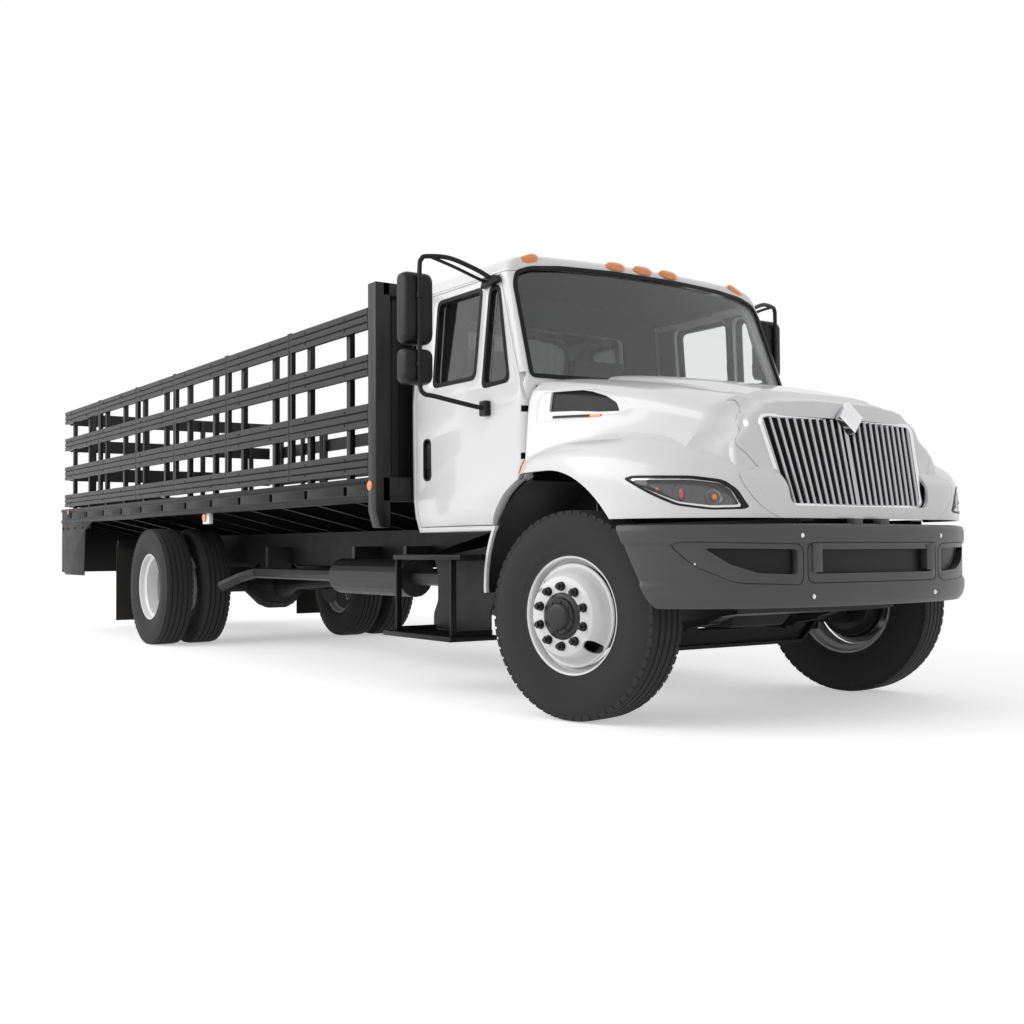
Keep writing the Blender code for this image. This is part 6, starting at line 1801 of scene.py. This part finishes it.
@dataclass
class Sides:
    """Steps, tanks, mud flaps and what else hangs from the frame rails."""

    treads: tuple[tuple[float, ...], ...] = (
        # rear X, front X, bottom Z, top Z, inner Y, outer Y
        (-1.700, -0.940, 0.770, 0.800, 0.860, 1.115),
        (-1.800, -1.020, 0.315, 0.345, 0.820, 1.130),
    )
    grip_pitch: float = 0.026

    def tread(self, rear: float, front: float, low: float, high: float, inner: float, outer: float,
              side: int) -> list[Mesh]:
        """A step: a rim with rows of grip bars."""
        reach = span(side, inner, outer)
        rim = cut(box((rear, reach[0], low), (front, reach[1], high - 0.002)),
                  box((rear + 0.018, reach[0] + 0.018, low - 0.01),
                      (front - 0.018, reach[1] - 0.018, high + 0.01)))
        bar = prism([(-0.0035, low + 0.002), (0.0035, low + 0.002), (0.0035, high - 0.003), (0.0020, high),
                     (-0.0020, high), (-0.0035, high - 0.003)], Axis.Y, reach[0] + 0.015, reach[1] - 0.015)
        count = int((front - rear - 0.04) / self.grip_pitch)
        bars = Repeat(bar, BLACK).row(count, (rear + 0.030, 0.0, 0.0), (self.grip_pitch, 0.0, 0.0))
        along = [box((rear + 0.015, y - 0.003, low + 0.001), (front - 0.015, y + 0.003, high - 0.004))
                 for y in (reach[0] + 0.09, reach[0] + 0.17)]
        return [softened(rim, FINE_EDGE), bars, *along]

    def build_steps(self) -> None:
        """Steps under both doors."""
        for name, side in SIDES:
            solids = []
            for rear, front, low, high, inner, outer in self.treads:
                solids += self.tread(rear, front, low, high, inner, outer, side)
            # Black plate behind the steps: painted shade, a dark sheet that stands in for the shaded space
            # under the cab.
            back = [(-1.690, 0.345), (-1.060, 0.345), (-1.060, 0.480), (-1.010, 0.560), (-0.990, 0.770),
                    (-1.680, 0.770), (-1.640, 0.690), (-1.640, 0.520), (-1.690, 0.440)]
            solids.append(sideways(rounded(back, 0.02), side, 0.830, 0.838))
            for x in (-1.060, -1.680):
                plate = [(FRAME_FACE, 0.850), (FRAME_FACE, 0.930), (0.900, 0.790), (1.105, 0.790),
                         (1.105, 0.320),
                         (0.830, 0.320), (0.830, 0.372), (1.070, 0.372), (1.070, 0.765), (0.880, 0.765)]
                solids.append(softened(facing(plate, side, x - 0.008, x + 0.008), 0.002))
            piece(f"step_{name}_treads", together(*solids), BLACK, "chassis", (f"step_{name}",))

    def build_tanks(self) -> None:
        """Fuel tank and air tank with straps."""
        # The fuel tank's near-black metal is painted shade.
        for name, y, z, radius, rear, front, finish, straps in (
                ("fuel_tank", 0.800, 0.660, 0.2895, -3.4995, -2.2505, SHADE_DARK_TANK, (-2.500, -3.250)),
                ("air_tank", -0.640, 0.560, 0.1245, -1.5595, -1.0205, BLACK, (-1.150, -1.430))):
            profile = [(0.0, 0.0), (0.004, 0.4 * radius), (0.012, 0.8 * radius), (0.022, 0.94 * radius),
                       (0.036, radius)]
            length = front - rear
            full = profile + [(length - a, r) for a, r in reversed(profile)]
            barrel = swung(turned(full, (0.0, 0.0, 0.0), 64), front, y, z)
            side = 1 if y > 0 else -1
            bands = []
            wide = 0.030 if name == "fuel_tank" else 0.020
            top, low = (0.900, 0.620) if name == "fuel_tank" else (0.720, 0.600)
            for x in straps:
                ends = sorted((side * FRAME_FACE, y))
                bands.append(softened(box((x - wide, ends[0], low), (x + wide, ends[1], top)), EDGE))
                ring = turned([(-wide, radius - 0.002), (-wide, radius + 0.0004), (wide, radius + 0.0004),
                               (wide, radius - 0.002)], (0.0, 0.0, 0.0), 64)
                bands.append(swung(ring, x, y, z))
            piece(f"{name}_barrel", barrel, finish, "chassis", (name,))
            piece(f"{name}_straps", together(*bands), BLACK, "chassis")

    def build_underside(self) -> None:
        """Oil pan under the engine and the shield under the radiator."""
        pan = loft([[(x0, y0, z), (x1, y0, z), (x1, -y0, z), (x0, -y0, z)] for x0, x1, y0, z in
                    ((-0.420, 0.200, -0.190, 0.420), (-0.470, 0.260, -0.230, 0.520),
                     (-0.480, 0.280, -0.240, 0.660))])
        piece("oil_pan", softened(pan, 0.015), CAST, "chassis")
        shield = [(0.480, 0.500), (0.620, 0.520), (0.640, 0.640), (0.630, 0.640), (0.612, 0.528),
                  (0.480, 0.508)]
        piece("radiator_shield", prism(shield, Axis.Y, -0.560, 0.560), TRIM, "chassis")

    def build_flaps(self) -> None:
        """Mud flaps behind the rear wheels."""
        for name, side in SIDES:
            flap = softened(side_box(side, (-6.945, -6.935), (0.640, 1.200), (0.170, 0.900)), EDGE)
            plate = [(FRAME_FACE, 0.800), (1.190, 0.870), (1.190, 0.920), (FRAME_FACE, 0.950)]
            hanger = facing(plate, side, -6.935, -6.910)
            heads = [shifted(bolt(Axis.X, 0.010, 0.007), -6.910, side * y, 0.893)
                     for y in (0.720, 0.920, 1.120)]
            piece(f"mud_flap_{name}_rubber", flap, FLAP, "chassis", (f"mud_flap_{name}",))
            piece(f"mud_flap_{name}_hanger", together(hanger, *heads), BLACK, "chassis")

    def build(self) -> None:
        """Build every piece of the chassis sides."""
        self.build_steps()
        self.build_tanks()
        self.build_underside()
        self.build_flaps()


@dataclass
class Interior:
    """Seats, dashboard details and what is seen through the glass."""

    seat_y: float = 0.430
    seat_half: float = 0.232

    def cushion(self, low: Flat, high: Flat, thick: float, crown: float, side: int) -> Mesh:
        """A crowned pad between two lines of its profile, with sewn channels along it.

        Args:
            low: X and Z of one end of its back line.
            high: X and Z of the other end.
            thick: thickness at its edge.
            crown: how much further it stands out in its middle.
            side: 1 for the left seat, -1 for the right.

        Returns:
            The mesh.
        """
        start, end = Vector((low[0], 0.0, low[1])), Vector((high[0], 0.0, high[1]))
        along = end - start
        out = Vector((along.z, 0.0, -along.x)).normalized()
        rings = []
        across = 24
        for n in range(21):
            t = n / 20
            fade = 1 - abs(2 * t - 1) ** 6
            width = self.seat_half * (0.94 + 0.06 * fade)
            face = []
            for k in range(across + 1):
                s = 2 * k / across - 1
                bulge = (1 - s ** 4) * (0.25 + 0.75 * fade)
                seam = 0.008 * max(0.0, 1 - abs(abs(s) - 0.62) / 0.05)
                height = 0.55 * thick + 0.45 * thick * (1 - s ** 8) * (0.4 + 0.6 * fade) + crown * bulge - seam
                across_y = Vector((0.0, side * self.seat_y + s * width, 0.0))
                face.append(start + along * t + out * height + across_y)
            back = [start + along * t + Vector((0.0, side * self.seat_y + s * width, 0.0))
                    for s in (0.97, 0, -0.97)]
            rings.append(face + back)
        return loft(rings)

    def build(self) -> None:
        """Build the seats and the details of the dashboard."""
        for name, side in SIDES:
            seat = self.cushion((-1.500, 1.230), (-1.045, 1.255), 0.085, 0.018, side)
            back = self.cushion((-1.585, 1.330), (-1.640, 2.070), -0.100, -0.020, side)
            for part, mesh in (("cushion", seat), ("back", back)):
                stands = (f"seat_{name}",) if part == "cushion" else ()
                piece(f"seat_{name}_{part}", mesh, CLOTH, "chassis", stands, smooth=70.0)
            low, high = side * self.seat_y - 0.200, side * self.seat_y + 0.200
            base = softened(box((-1.490, low, 1.0303), (-1.130, high, 1.232)), 0.010)
            piece(f"seat_{name}_base", base, TRIM, "chassis")
        dials = []
        for y in (0.330, 0.530):
            ring = turned([(0.0, 0.040), (0.008, 0.046), (0.008, 0.056), (0.0, 0.060)], (0.0, 0.0, 0.0), 32)
            dials.append(swung(ring, -0.862, y, 1.560))
        piece("dashboard_dials", together(*dials), BRIGHT, "chassis")


# Rest of the CAD

# The exhaust takes the tank metal, which is painted near black as shade.
CAD_FINISHES: dict[str, Finish] = {
    "frame": BLACK, "engine": CAST, "gearbox": CAST, "radiator": TRIM, "drive_shaft": CAST, "exhaust": SHADE_DARK_TANK,
    "front_axle": CAST, "rear_axle": CAST, "front_spring_left": CAST, "front_spring_right": CAST,
    "rear_spring_left": CAST, "rear_spring_right": CAST, "knuckle_left": CAST, "knuckle_right": CAST,
    "tie_rod": CAST, "dashboard": TRIM, "steering_wheel": TRIM,
}


# Stage

@dataclass
class Stage:
    """White floor, plain light and the camera of the photo."""

    eye: Point = (8.749, -4.702, 0.839)
    yaw: float = 145.697
    pitch: float = 1.631
    roll: float = -0.297
    focal_px: float = 1238.185
    width_px: float = 1024.0
    sensor_mm: float = 36.0
    floor_half: float = 60.0
    floor_glow: float = 0.45
    world_light: float = 0.57
    key_size: Flat = (14.0, 7.0)
    key_watts: float = 760.0
    key_place: Point = (-2.0, -10.0, 6.0)
    key_lean: float = 60.0

    def camera(self) -> None:
        """Place the camera as the photo was taken."""
        yaw, pitch, roll = radians(self.yaw), radians(self.pitch), radians(self.roll)
        ahead = Vector((cos(yaw) * cos(pitch), sin(yaw) * cos(pitch), sin(pitch)))
        right = Vector((sin(yaw), -cos(yaw), 0.0))
        above = right.cross(ahead)
        leaned = right * cos(roll) + above * sin(roll)
        upright = above * cos(roll) - right * sin(roll)
        data = bpy.data.cameras.new("photo_camera")
        data.sensor_width = self.sensor_mm
        data.lens = self.focal_px / self.width_px * data.sensor_width
        data.clip_end = 200.0
        camera = placed("photo_camera", data)
        axes = Matrix((leaned, upright, -ahead)).transposed().to_4x4()
        camera.matrix_world = Matrix.Translation(self.eye) @ axes
        bpy.context.scene.camera = camera

    def floor(self) -> None:
        """A floor that shows white to the camera and keeps the truck's shadow."""
        half = self.floor_half
        mesh = box((-half, -half, -0.05), (half, half, 0.0))
        mesh.name = "floor"
        mat, tree, shader = principled("studio_floor")
        glow = maths(tree, "MULTIPLY", (directly_seen(tree), 0), self.floor_glow)
        fill(tree, shader, {"Base Color": (0.92, 0.92, 0.92, 1.0), "Roughness": 0.9,
                            "Emission Color": (1.0, 1.0, 1.0, 1.0), "Emission Strength": (glow, 0)})
        mesh.materials.append(mat)
        placed("floor", mesh)

    def world(self) -> None:
        """White surroundings that also light the truck evenly."""
        world = bpy.data.worlds.new("studio")
        world.use_nodes = True
        tree = world.node_tree
        tree.nodes.clear()
        seen = directly_seen(tree)
        light, white = (wire(tree, "ShaderNodeBackground",
                             {"Color": (1.0, 1.0, 1.0, 1.0), "Strength": strength})
                        for strength in (self.world_light, 1.0))
        mixed = wire(tree, "ShaderNodeMixShader", {0: (seen, 0), 1: (light, 0), 2: (white, 0)})
        wire(tree, "ShaderNodeOutputWorld", {"Surface": (mixed, 0)})
        bpy.context.scene.world = world

    def lamps(self) -> None:
        """One broad soft lamp above."""
        data = bpy.data.lights.new("key", "AREA")
        data.shape = "RECTANGLE"
        data.size, data.size_y = self.key_size
        data.energy = self.key_watts
        lean = Matrix.Rotation(radians(self.key_lean), 4, "X")
        placed("key", data).matrix_world = Matrix.Translation(self.key_place) @ lean

    def build(self) -> None:
        """Build the stage."""
        self.camera()
        self.floor()
        self.world()
        self.lamps()
        bpy.context.scene.view_settings.view_transform = "Standard"


def main() -> None:
    """Dress the truck and set the stage."""
    cab = Cab(CabForm())
    cab.build()
    Mirrors().build()
    Hood(cab).build()
    Bumper().build()
    Wheels().build()
    Bed().build()
    Sides().build()
    Interior().build()
    for node, finish in CAD_FINISHES.items():
        dress(node, finish)
    Stage().build()


if __name__ == "__main__":
    logging.basicConfig(level=logging.INFO, format="%(name)s: %(message)s")
    main()
